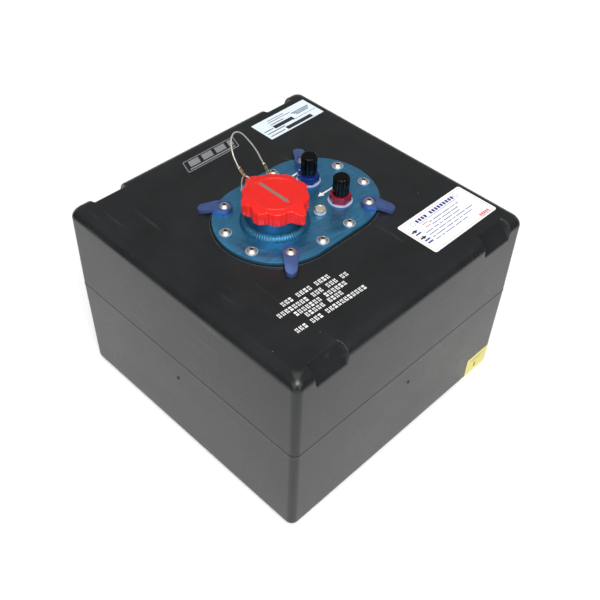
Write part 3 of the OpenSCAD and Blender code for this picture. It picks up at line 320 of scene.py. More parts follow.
class FuelCellStudio(bpy.types.PropertyGroup):
    """Camera and light of the studio."""

    eye: FloatVectorProperty(
        name="Camera", description="Where the camera stands", size=3, subtype="TRANSLATION",
        unit="LENGTH", default=(-0.51276, -0.48985, 0.80078),
    )
    azimuth: FloatProperty(
        name="Azimuth", description="Turn of the camera about the upright axis", subtype="ANGLE",
        default=math.radians(-46.796),
    )
    elevation: FloatProperty(
        name="Elevation", description="Height of the camera above the horizon", subtype="ANGLE",
        default=math.radians(44.748),
    )
    roll: FloatProperty(
        name="Roll", description="Turn of the picture about its middle", subtype="ANGLE",
        default=math.radians(2.272),
    )
    lens: FloatProperty(
        name="Lens", description="Focal length on a sensor 36 mm wide, in millimetres", default=53.69
    )
    key: FloatProperty(name="Key light", description="Power of the soft light by the camera",
                       subtype="POWER", default=24.0)
    fill: FloatProperty(name="Fill light", description="Power of each of the two side lights",
                        subtype="POWER", default=28.5)
    overhead: FloatProperty(name="Overhead light", description="Power of the soft light above",
                            subtype="POWER", default=22.0)
    far_light: FloatProperty(name="Far light", description="Strength of the even light from far off",
                             default=1.8)
    low_sky: FloatProperty(name="Low surroundings", description="Light of the walls near the floor",
                           default=0.5)
    high_sky: FloatProperty(name="High surroundings", description="Light of the room overhead",
                            default=0.25)


# Finishes


def add(tree, kind, inputs=None, **settings):
    """Add a node with its settings; an input takes a value or another node's output."""
    node = tree.nodes.new(kind)
    for name, value in settings.items():
        setattr(node, name, value)
    for name, value in (inputs or {}).items():
        if isinstance(value, bpy.types.NodeSocket):
            tree.links.new(value, node.inputs[name])
        else:
            node.inputs[name].default_value = value
    return node


def per_mm(size):
    """Scale of a pattern whose features are this many millimetres across."""
    return 1 / (size * MM)


def surface(name, colour, tones, rough, cloud, grain, relief, stretch=(1, 1, 1), **sockets):
    """Finish whose tone and gloss drift in clouds over a fine grain.

    The colour is one of FuelCellColours; its tones and the roughness are given as (least, most).
    The sizes of the clouds and the grain, and the grain's relief, are in millimetres.
    """
    finish = bpy.data.materials.get(name)
    if finish:
        return finish
    finish = bpy.data.materials.new(name)
    finish.use_nodes = True
    tree = finish.node_tree
    shader = tree.nodes["Principled BSDF"]
    base = getattr(bpy.context.scene.fuel_cell_colours, colour)
    dark, light = ([min(c * share, 1.0) for c in base] + [1.0] for share in tones)
    place = add(tree, "ShaderNodeTexCoord").outputs["Object"]
    drawn = add(tree, "ShaderNodeMapping", {"Vector": place, "Scale": stretch}).outputs[0]
    clouds = add(tree, "ShaderNodeTexNoise", {"Vector": drawn, "Scale": per_mm(cloud), "Detail": 4.0})
    spread = {"Value": clouds.outputs[0], **NOISE}
    drift = add(tree, "ShaderNodeMapRange", spread)
    mixed = add(tree, "ShaderNodeMix", {0: drift.outputs[0], 6: dark, 7: light}, data_type="RGBA")
    gloss = add(tree, "ShaderNodeMapRange", {**spread, "To Min": rough[0], "To Max": rough[1]})
    pebble = add(tree, "ShaderNodeTexNoise", {"Vector": drawn, "Scale": per_mm(grain), "Detail": 2.0})
    bump = add(tree, "ShaderNodeBump", {"Height": pebble.outputs[0], "Distance": relief * MM})
    tree.links.new(mixed.outputs[2], shader.inputs["Base Color"])
    tree.links.new(gloss.outputs[0], shader.inputs["Roughness"])
    tree.links.new(bump.outputs[0], shader.inputs["Normal"])
    for socket, value in sockets.items():
        shader.inputs[socket.replace("_", " ").title().replace("Ior", "IOR")].default_value = value
    return finish


def container_polyethylene():
    """Rotationally moulded polyethylene: a waxy black skin with a faint pebble, pale rubbed streaks
    and a few dust specks."""
    name = "moulded_black_polyethylene"
    if name in bpy.data.materials:
        return bpy.data.materials[name]
    colours = bpy.context.scene.fuel_cell_colours
    # The pebble of a real moulding is about 0.4 mm; it is drawn at 1.1 mm so that it shows
    finish = surface(name, "container", (0.85, 1.2), (0.24, 0.32), 45, 1.1, 0.035, ior=1.37)
    tree = finish.node_tree
    shader = tree.nodes["Principled BSDF"]
    base = shader.inputs["Base Color"].links[0].from_socket
    place = add(tree, "ShaderNodeTexCoord").outputs["Object"]
    # Rubbed streaks, about 5 mm wide and 80 mm long, where a larger cloud lets them through
    drawn = add(tree, "ShaderNodeMapping", {
        "Vector": place, "Rotation": (0.5, 0.35, 0.7), "Scale": (1.0, 0.06, 1.0),
    }).outputs[0]
    rubbed = add(tree, "ShaderNodeTexNoise", {"Vector": drawn, "Scale": per_mm(5), "Detail": 5.0})
    where = add(tree, "ShaderNodeTexNoise", {"Vector": place, "Scale": per_mm(75), "Detail": 2.0})
    thin = add(tree, "ShaderNodeMapRange", {"Value": rubbed.outputs[0], "From Min": 0.58, "From Max": 0.72})
    here = add(tree, "ShaderNodeMapRange", {"Value": where.outputs[0], "From Min": 0.52, "From Max": 0.66})
    streak = add(tree, "ShaderNodeMath", {0: thin.outputs[0], 1: here.outputs[0]}, operation="MULTIPLY")
    haze = add(tree, "ShaderNodeMath", {0: streak.outputs[0], 1: HAZE}, operation="MULTIPLY")
    hazed = add(tree, "ShaderNodeMix", {
        0: haze.outputs[0], 6: base, 7: (*colours.haze, 1),
    }, data_type="RGBA")
    # Dust specks about a millimetre across, some 28 mm apart
    specks = add(tree, "ShaderNodeTexVoronoi", {"Vector": place, "Scale": per_mm(28)})
    speck = add(tree, "ShaderNodeMath", {0: specks.outputs["Distance"], 1: SPECK}, operation="LESS_THAN")
    dusty = add(tree, "ShaderNodeMix", {
        0: speck.outputs[0], 6: hazed.outputs[2], 7: (*colours.dust, 1),
    }, data_type="RGBA")
    tree.links.new(dusty.outputs[2], shader.inputs["Base Color"])
    return finish


def highlight_polyethylene():
    """Polyethylene painted pale grey as a highlight on a raised edge, with less gloss than the skin."""
    return surface("rubbed_black_polyethylene", "rubbed", (0.6, 1.15), (0.4, 0.55), 6, 0.8, 0.02, ior=1.5)


def plate_anodised():
    """Blue anodised aluminium sheet, brushed before dyeing: fine lines that blur the reflections."""
    # Brush lines are about 0.1 mm apart; they are drawn 0.6 mm apart so that they show
    return surface(
        "blue_anodised_aluminium", "plate", (0.86, 1.06), (0.34, 0.44), 3, 0.6, 0.02,
        stretch=(0.3, 1.0, 1.0), metallic=0.85, coat_weight=0.35, coat_roughness=0.1,
    )


def shaded_neck_anodised():
    """Blue anodised aluminium tube, drawn smooth: the fill plate's blue at a darker tone, as painted shade
    under the cap.
    """
    # Drawing lines are about 0.1 mm apart; they are drawn 0.6 mm apart so that they show
    return surface(
        "blue_anodised_tube", "plate", (0.42, 0.52), (0.36, 0.46), 12, 0.6, 0.01, stretch=(1.0, 1.0, 0.12),
        metallic=0.85,
    )


def weld_anodised():
    """Blue anodised weld metal: a dull bead with slightly pitted crests from its cast structure."""
    return surface("blue_anodised_weld", "plate", (0.42, 0.68), (0.42, 0.55), 3, 0.8, 0.02, metallic=0.85)


def tab_anodised():
    """Machined aluminium, bead-blasted and dyed violet-blue: a satin that hides the tool marks."""
    # Blasting grit leaves pits of about 0.15 mm; they are drawn at 0.6 mm so that they show
    return surface(
        "violet_anodised_aluminium", "tabs", (0.85, 1.1), (0.34, 0.44), 9, 0.6, 0.015, metallic=0.5
    )


def cap_powder_coat():
    """Red powder coat over cast aluminium: a thick glossy skin with a slight orange peel."""
    return surface(
        "red_powder_coat", "cap", (0.94, 1.0), (0.08, 0.13), 14, 2.4, 0.006, ior=1.47, specular_ior_level=0.32
    )


def stainless_steel():
    """Cold-headed stainless steel: bright, with faint drawn marks."""
    return surface("stainless_steel", "stainless", (0.92, 1.0), (0.44, 0.54), 4, 0.5, 0.004, metallic=1.0)


def zinc_plate():
    """Zinc plate on pressed steel: a pale bluish bloom that scatters the light."""
    return surface("zinc_plate", "zinc", (0.85, 1.0), (0.38, 0.48), 5, 0.6, 0.008, metallic=0.45)


def socket_shade_finish():
    """Painted shade in the screws' sockets: a brown-black lining with a little gloss, standing in for the
    shade in the holes.
    """
    return surface("dark_thread_oil", "oil", (0.7, 1.2), (0.4, 0.55), 1.5, 0.4, 0.005, ior=1.47)


def bare_aluminium():
    """Turned aluminium: pale grey with fine lathe lines."""
    # Lathe lines are about 0.1 mm apart; they are drawn 0.5 mm apart so that they show
    return surface(
        "turned_aluminium", "aluminium", (0.88, 1.0), (0.28, 0.4), 6, 0.5, 0.01, stretch=(0.2, 0.2, 1.0),
        metallic=1.0,
    )


def port_anodised(name, colour):
    """Anodised aluminium, turned and milled: a deep glossy dye."""
    return surface(
        name, colour, (0.85, 1.15), (0.24, 0.34), 4, 0.5, 0.006, stretch=(0.3, 0.3, 1.0), metallic=0.5,
        coat_weight=0.3, coat_roughness=0.1,
    )


def white_nylon():
    """Moulded nylon: white, and light bleeds a little way into it."""
    return surface(
        "moulded_white_nylon", "nylon", (0.95, 1.0), (0.32, 0.42), 6, 0.7, 0.01, ior=1.53,
        subsurface_weight=0.25, subsurface_scale=1.5 * MM,
    )


def dust_vinyl():
    """Dip-moulded black vinyl: glossy, with a faintly wavy skin."""
    return surface(
        "black_dipped_vinyl", "dust_cap", (0.6, 1.0), (0.1, 0.16), 5, 2.2, 0.01, ior=1.46,
        specular_ior_level=0.22,
    )


def yellow_zinc():
    """Zinc with a yellow chromate: gold that turns rose and green in patches."""
    name = "yellow_chromate_zinc"
    if name in bpy.data.materials:
        return bpy.data.materials[name]
    finish = surface(name, "ground", (0.85, 1.1), (0.42, 0.52), 3, 0.5, 0.008, metallic=0.8)
    tree = finish.node_tree
    shader = tree.nodes["Principled BSDF"]
    base = shader.inputs["Base Color"].links[0].from_socket
    place = add(tree, "ShaderNodeTexCoord").outputs["Object"]
    # Patches of colour about 2.5 mm across
    film = add(tree, "ShaderNodeTexNoise", {"Vector": place, "Scale": per_mm(2.5), "Detail": 1.0})
    hue = add(tree, "ShaderNodeMapRange", {
        "Value": film.outputs[0], **NOISE, "To Min": 0.47, "To Max": 0.53,
    })
    shifted = add(tree, "ShaderNodeHueSaturation", {"Hue": hue.outputs[0], "Color": base})
    tree.links.new(shifted.outputs[0], shader.inputs["Base Color"])
    return finish


def coated_wire():
    """Steel wire rope under a clear nylon coat: a soft grey with a slick skin."""
    return surface(
        "clear_coated_wire_rope", "wire", (0.75, 1.0), (0.3, 0.42), 1.5, 0.4, 0.008, metallic=0.3,
        coat_weight=0.5, coat_roughness=0.2,
    )


def ferrule_brass():
    """Crimped brass sleeve: dull gold, brighter where the tool pressed it."""
    return surface("crimped_brass", "ferrule", (0.8, 1.1), (0.24, 0.38), 2, 0.4, 0.01, metallic=1.0)


def gasket_rubber():
    """Cut nitrile rubber: matt black with a dusty bloom."""
    return surface("nitrile_rubber", "rubber", (0.8, 1.5), (0.6, 0.75), 8, 0.6, 0.02, ior=1.4)


def bladder_fabric():
    """Rubber-coated nylon fabric: the weave shows through the dull coat."""
    # Threads are about 0.5 mm apart; they are drawn 1.5 mm apart so that they show
    return surface(
        "rubber_coated_fabric", "bladder", (0.85, 1.2), (0.5, 0.65), 25, 1.5, 0.06, ior=1.52, sheen_weight=0.1
    )


def open_foam():
    """Open-cell polyurethane foam: matt yellow, pitted by its pores."""
    # Pores are about 1 mm across; they are drawn at 2.5 mm so that they show
    return surface(
        "open_cell_foam", "foam", (0.6, 1.05), (0.85, 0.95), 2.5, 2.5, 0.8, ior=1.45, sheen_weight=0.2
    )


def sticker_vinyl(name, colour):
    """Printed vinyl under a clear film: an even colour with a slight ripple in its gloss."""
    return surface(name, colour, (0.95, 1.0), (0.3, 0.4), 18, 3.0, 0.01, ior=1.5)


def printed_ink(name, colour):
    """Screen-printed ink: matt and slightly uneven."""
    return surface(name, colour, (0.88, 1.0), (0.5, 0.62), 4, 0.5, 0.01, ior=1.5)


def studio_paper():
    """Seamless paper: pale and without gloss, with a tooth that only shows close up."""
    return surface("pale_studio_paper", "floor", (0.985, 1.0), (0.9, 0.95), 400, 2, 0.01, ior=1.45)


def flag_felt():
    """Black felt of a studio flag: it swallows light, with a nap that clouds it slightly."""
    return surface("black_flag_felt", "flag", (0.8, 1.0), (0.95, 1.0), 60, 2, 0.01, ior=1.4)


# Shapes


def loft(rings, closed=False, into=None):
    """Skin rings of points that follow each other; the ends are filled, or joined if it is closed."""
    form = into or bmesh.new()
    rows = [[form.verts.new(point) for point in ring] for ring in rings]
    bands = list(zip(rows, rows[1:])) + ([(rows[-1], rows[0])] if closed else [])
    for low, high in bands:
        for k, corner in enumerate(low):
            n = (k + 1) % len(low)
            form.faces.new((corner, low[n], high[n], high[k]))
    if not closed:
        for row in (rows[0], rows[-1]):
            form.faces.new(row)
    return form


def turned(profile, sides=96, axis=(0, 0), closed=False, into=None):
    """Turn a profile of (radius, height) points about an upright axis.

    A point of the profile may also be a function that gives them for an angle.
    """
    middle = Vector((axis[0], axis[1], 0))
    rings = []
    for point in profile:
        ring = []
        for k in range(sides):
            angle = TURN * k / sides
            r, z = point(angle) if callable(point) else point
            ring.append(middle + Vector((r * math.cos(angle), r * math.sin(angle), z)))
        rings.append(ring)
    return loft(rings, closed, into)


def tidied(form):
    """Close the poles of turned forms and turn the faces outward."""
    bmesh.ops.remove_doubles(form, verts=form.verts, dist=MERGE)
    bmesh.ops.dissolve_degenerate(form, dist=MERGE, edges=form.edges)
    bmesh.ops.recalc_face_normals(form, faces=form.faces)
    return form


def filleted(corners, closed=False, steps=4):
    """Profile through (radius, height, fillet) corners, with each corner rounded by its fillet."""
    points = []
    last = len(corners) - 1
    for i, (r, z, fillet) in enumerate(corners):
        here = Vector((r, z))
        if fillet <= 0 or (not closed and i in (0, last)):
            points.append((r, z))
            continue
        before = (Vector(corners[i - 1][:2]) - here).normalized()
        after = (Vector(corners[(i + 1) % len(corners)][:2]) - here).normalized()
        half = before.angle(after) / 2
        middle = here + (before + after).normalized() * fillet / math.sin(half)
        start = here + before * fillet / math.tan(half) - middle
        end = here + after * fillet / math.tan(half) - middle
        for k in range(steps + 1):
            points.append(tuple(middle + start.lerp(end, k / steps).normalized() * fillet))
    return points


def washer_profile(bore_r, outer_r, low, high, edge):
    """Closed profile of a flat ring with rounded edges."""
    return filleted(
        [(bore_r, low, edge), (outer_r, low, edge), (outer_r, high, edge), (bore_r, high, edge)], closed=True
    )


def hexagon(af, angle, turned_by=0.0):
    """Distance from the axis to the side of a hexagon whose corner is turned this far from +X."""
    return af / 2 / math.cos((angle - turned_by) % (TURN / 6) - TURN / 12)


def chamfered_hexagon(af, low, high, turned_by=0.0):
    """Rings up the side of a hexagon whose corners are turned off at both ends."""
    flat = CHAMFER_SHARE * af

    def drop(angle):
        return CHAMFER_SLOPE * (hexagon(af, angle, turned_by) - flat)

    return [
        (flat, low), lambda a: (hexagon(af, a, turned_by), low + drop(a)),
        lambda a: (hexagon(af, a, turned_by), high - drop(a)), (flat, high),
    ]


def threaded(r, depth, pitch, low, high, per_turn=8):
    """Rings up a helical thread that runs out at both ends."""
    count = max(2, round((high - low) / pitch * per_turn))
    rings = []
    for i in range(count + 1):
        z = low + (high - low) * i / count
        fade = min(1.0, (z - low) / pitch, (high - z) / pitch)

        def ring(angle, z=z, fade=fade):
            wave = 0.5 - 0.5 * math.cos(TURN * (z / pitch - angle / TURN))
            return r - depth * (1 - wave * fade), z

        rings.append(ring)
    return rings


def curve(points, steps):
    """Smooth run of points through a route."""
    run = []
    last = len(points) - 1
    for i in range(last):
        a, b, c, d = (points[max(i - 1, 0)], points[i], points[i + 1], points[min(i + 2, last)])
        slope, bend, twist = c - a, 2 * a - 5 * b + 4 * c - d, 3 * b - a - 3 * c + d
        for k in range(steps):
            t = k / steps
            run.append(b + slope * t / 2 + bend * t ** 2 / 2 + twist * t ** 3 / 2)
    return run + [points[last]]


def strand_tube(path, sizes, sides=24):
    """Tube along a path, grooved between strands that wind around it."""
    rings = []
    last = len(path) - 1
    side = Vector((1, 0, 0))
    gone = 0.0
    for i, point in enumerate(path):
        ahead = (path[min(i + 1, last)] - path[max(i - 1, 0)]).normalized()
        side = (side - ahead * side.dot(ahead)).normalized()
        other = ahead.cross(side)
        gone += (point - path[max(i - 1, 0)]).length
        ring = []
        for k in range(sides):
            angle = TURN * k / sides
            groove = 0.5 - 0.5 * math.cos(sizes.strands * (angle + TURN * gone / sizes.wire_lay))
            r = sizes.wire_d / 2 * (1 - STRAND_GROOVE * groove)
            ring.append(point + side * r * math.cos(angle) + other * r * math.sin(angle))
        rings.append(ring)
    return loft(rings)


def slab(outline, low, high, into=None):
    """Flat closed slab over an outline of (x, y) points."""
    return loft([[Vector((x, y, z)) for x, y in outline] for z in (low, high)], into=into)


def placed(corners, x, y, angle):
    """Corners in millimetres, turned by an angle about their middle and moved to a place, in metres."""
    c, s = math.cos(angle), math.sin(angle)
    return [((x + u * c - v * s) * MM, (y + u * s + v * c) * MM) for u, v in corners]


def bar(x, y, w, h, angle=0.0):
    """Outline of a bar around its middle, from sizes in millimetres."""
    return placed(((-w / 2, -h / 2), (w / 2, -h / 2), (w / 2, h / 2), (-w / 2, h / 2)), x, y, angle)


def arrow(x, y, long, wide, angle=0.0, shaft=0.4):
    """Outline of an arrow around its middle that points along its angle, from sizes in millimetres."""
    neck = long / 2 - wide
    half = shaft * wide / 2
    return placed((
        (-long / 2, -half), (neck, -half), (neck, -wide / 2), (long / 2, 0), (neck, wide / 2), (neck, half),
        (-long / 2, half),
    ), x, y, angle)


def rounded_bar(x, y, w, h, r, steps=6):
    """Outline of a rectangle with round corners around its middle, from sizes in millimetres."""
    points = []
    for corner, (sx, sy) in enumerate(QUARTERS):
        for k in range(steps + 1):
            angle = TURN / 4 * (corner + k / steps)
            u = sx * (w / 2 - r) + r * math.cos(angle)
            v = sy * (h / 2 - r) + r * math.sin(angle)
            points.append(((x + u) * MM, (y + v) * MM))
    return points


def framed(outline, inner, low, high, into):
    """Flat frame between two outlines with as many points."""
    rings = [
        [Vector((x, y, z)) for x, y in edge]
        for edge, z in ((outline, low), (outline, high), (inner, high), (inner, low))
    ]
    return loft(rings, closed=True, into=into)


# Pieces


def piece(name, form, finish, body="cell", replaces=(), crease=38.0):
    """Make an object of a form, with its finish, on the body that it rides on."""
    mesh = bpy.data.meshes.new(name)
    tidied(form).to_mesh(mesh)
    form.free()
    mesh.shade_smooth()
    mesh.set_sharp_from_angle(angle=math.radians(crease))
    mesh.materials.append(finish)
    made = bpy.data.objects.new(name, mesh)
    bpy.context.scene.collection.objects.link(made)
    if body:
        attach(made, body)
    if replaces:
        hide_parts(*replaces)
    return made


def printed(name, outlines, face, finish, body="cell", frames=()):
    """Piece of thin ink on a face, over frames and over plain outlines."""
    ink = bpy.context.scene.fuel_cell_sizes.ink_t
    form = bmesh.new()
    for outer, inner in frames:
        framed(outer, inner, face, face + ink, form)
    for outline in outlines:
        slab(outline, face, face + ink, form)
    return piece(name, form, finish, body)


def packed_form(node):
    """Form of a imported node, with its doubled points joined."""
    form = bmesh.new()
    form.from_mesh(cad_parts[node].data)
    bmesh.ops.remove_doubles(form, verts=form.verts, dist=JOIN)
    return form


def finished(node, finish, edge, body="cell", segments=3):
    """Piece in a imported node's own shape, with its edges rounded."""
    form = packed_form(node)
    bmesh.ops.dissolve_limit(
        form, angle_limit=FLAT_ANGLE, verts=form.verts, edges=form.edges, use_dissolve_boundaries=False
    )
    made = piece(node + "_finished", form, finish, body, (node,), crease=180.0)
    bevel = made.modifiers.new("rounded edges", "BEVEL")
    bevel.width = edge
    bevel.segments = segments
    bevel.limit_method = "ANGLE"
    bevel.angle_limit = BEVEL_ANGLE
    bevel.harden_normals = True
    return made


def islands(node):
    """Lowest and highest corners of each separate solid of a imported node."""
    form = packed_form(node)
    left = set(form.verts)
    boxes = []
    while left:
        reached = {left.pop()}
        edge = set(reached)
        while edge:
            edge = {vert for known in edge for link in known.link_edges for vert in link.verts} - reached
            reached |= edge
        left -= reached
        boxes.append(tuple(Vector([f(v.co[i] for v in reached) for i in range(3)]) for f in (min, max)))
    form.free()
    return sorted(boxes, key=lambda box: tuple(box[0]))


def middle_of(node):
    """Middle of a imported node's box."""
    low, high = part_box(node)
    return (low + high) / 2


def radius_of(node):
    """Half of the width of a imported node's box."""
    low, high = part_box(node)
    return (high.x - low.x) / 2


def deck():
    """Middle of the fill plate's top."""
    spot = middle_of("fill_plate")
    spot.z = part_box("fill_plate")[1].z
    return spot


# Operators


class FUELCELL_OT_stage(bpy.types.Operator):
    """Set up the camera at the photograph's angle, the pale floor and the soft light"""

    bl_idname = "fuel_cell.stage"
    bl_label = "Stage"

    def execute(self, context):
        scene = context.scene
        studio = scene.fuel_cell_studio
        scene.view_settings.view_transform = "Standard"
        self.camera(scene, studio)
        for name, spot, size, power in LAMPS:
            lamp = self.lamp(scene, name, "AREA", getattr(studio, power), Vector(LAMP_AIM) - Vector(spot))
            lamp.location = spot
            lamp.data.shape = "RECTANGLE"
            lamp.data.size, lamp.data.size_y = size
        # One even light from far off keeps the paper white out to its edges
        far = self.lamp(scene, "far_light", "SUN", studio.far_light, Vector(FAR_WAY))
        far.data.angle = FAR_SPREAD
        self.surroundings(scene, studio)
        self.flags()
        self.floor()
        return {"FINISHED"}

    @staticmethod
    def camera(scene, studio):
        """Camera at the studio's place, turned by its azimuth, elevation and roll."""
        a, e, r = studio.azimuth, studio.elevation, studio.roll
        back = Vector((math.sin(a) * math.cos(e), -math.cos(a) * math.cos(e), math.sin(e)))
        level = Vector((math.cos(a), math.sin(a), 0))
        rise = back.cross(level)
        right = level * math.cos(r) + rise * math.sin(r)
        up = rise * math.cos(r) - level * math.sin(r)
        lens = bpy.data.cameras.new("camera")
        lens.lens = studio.lens
        lens.sensor_width = SENSOR_WIDTH
        camera = bpy.data.objects.new("camera", lens)
        turn = Matrix((right, up, back)).transposed().to_4x4()
        camera.matrix_world = Matrix.Translation(studio.eye) @ turn
        scene.collection.objects.link(camera)
        scene.camera = camera

    @staticmethod
    def lamp(scene, name, kind, power, way):
        """Lamp that shines along a direction."""
        light = bpy.data.lights.new(name, kind)
        light.energy = power
        lamp = bpy.data.objects.new(name, light)
        lamp.rotation_euler = way.to_track_quat("-Z", "Y").to_euler()
        scene.collection.objects.link(lamp)
        return lamp

    @staticmethod
    def surroundings(scene, studio):
        """White surroundings that are brighter near the floor than overhead."""
        world = scene.world or bpy.data.worlds.new("studio")
        scene.world = world
        world.use_nodes = True
        tree = world.node_tree
        way = add(tree, "ShaderNodeTexCoord").outputs["Generated"]
        height = add(tree, "ShaderNodeSeparateXYZ", {0: way}).outputs["Z"]
        glow = add(tree, "ShaderNodeMapRange", {
            "Value": height, "From Min": 0.0, "From Max": SKY_RISE,
            "To Min": studio.low_sky, "To Max": studio.high_sky,
        }, interpolation_type="SMOOTHSTEP")
        tree.links.new(glow.outputs[0], tree.nodes["Background"].inputs["Strength"])
        tree.nodes["Background"].inputs["Color"].default_value = (1, 1, 1, 1)

    @staticmethod
    def flags():
        """Two dark flags that no camera sees: they stand in the mirror of the rounded top edges."""
        for name, place in FLAGS:
            spot = Vector(place)
            along = Vector((spot.y, -spot.x, 0)).normalized() * FLAG_HALF
            sheet = [spot + along * side + Vector((0, 0, z)) for side, z in FLAG_OUTLINE]
            backing = [point + spot.normalized() * FLAG_T for point in sheet]
            flag = piece(name, loft([sheet, backing]), flag_felt(), body=None)
            flag.visible_camera = False
            flag.visible_diffuse = False
            flag.visible_shadow = False

    @staticmethod
    def floor():
        """Sheet of paper whose edges turn down, far outside the picture."""
        rings = []
        for reach, z in ((PAPER_HALF, -PAPER_DROP), (PAPER_HALF, 0.0), (PAPER_HALF - PAPER_LIP, 0.0)):
            rings.append([Vector((reach * sx, reach * sy, z - PAPER_GAP)) for sx, sy in QUARTERS])
        floor = piece("studio_floor", loft(rings), studio_paper(), body=None)


class FUELCELL_OT_lanyard(bpy.types.Operator):
    """Make the wire lanyard between the filler cap and the fill plate, with its ferrules, loop and eye"""

    bl_idname = "fuel_cell.lanyard"
    bl_label = "Lanyard"

    def execute(self, context):
        sizes = context.scene.fuel_cell_sizes
        origin = deck()
        route = [origin + Vector(p) * MM for p in WIRE_ROUTE]
        path = list(reversed(curve(route, 18)))
        wire = self.rope("lanyard_wire_rope", path, None, "lanyard_wire", sizes)
        loop_path = curve([origin + Vector(p) * MM for p in LOOP_ROUTE], 8)
        loop = self.rope("cap_loop_wire", loop_path, "cap", "cap_loop", sizes)

        screw = min(islands("plate_screws"), key=lambda box: ((box[0] + box[1]) / 2 - route[-1]).xy.length)
        rest = (screw[0] + screw[1]) / 2
        rest.z = origin.z + sizes.washer_t + sizes.eye_gap + sizes.wire_d / 2
        eye_path = curve([rest + Vector(p) * MM for p in EYE_ROUTE], 8)
        eye = self.rope("plate_eye_wire", eye_path, "cell", "plate_eye", sizes)

        start = origin + Vector(CAP_FERRULE_END) * MM
        end = route[0] - (route[0] - start).normalized() * sizes.ferrule_gap
        cap_sleeve = self.ferrule("cap_ferrule", start, end, "cap", sizes)
        start = origin + Vector(PLATE_FERRULE_END) * MM
        plate_sleeve = self.ferrule("plate_ferrule", start, route[-1], "cell", sizes)

        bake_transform(wire)
        return {"FINISHED"}

    @staticmethod
    def rope(name, path, body, node, sizes):
        """Coated wire rope along a path."""
        return piece(name, strand_tube(path, sizes), coated_wire(), body, (node,))

    @staticmethod
    def ferrule(node, start, end, body, sizes):
        """Sleeve with two crimps across it and a rolled lip at each end."""
        span = (end - start).length
        r = sizes.ferrule_d / 2
        lip = 0.06 * MM
        rings = [(0.0, 0.0), (r * 0.55, 0.0), (r * 0.86, lip)]
        steps = 30
        for i in range(1, steps):
            t = i / steps
            crimp = sum(math.exp(-((t - spot) / CRIMP_WIDTH) ** 2) for spot in CRIMPS)

            def ring(angle, t=t, crimp=crimp):
                return r * (1 - CRIMP_DEPTH * crimp * math.cos(angle) ** 2), span * t

            rings.append(ring)
        rings += [(r * 0.86, span - lip), (r * 0.55, span), (0.0, span)]
        form = turned(rings, sides=32)
        turn = (end - start).to_track_quat("Z", "X").to_matrix().to_4x4()
        bmesh.ops.transform(form, matrix=Matrix.Translation(start) @ turn, verts=form.verts)
        return piece(node + "_sleeve", form, ferrule_brass(), body, (node,))


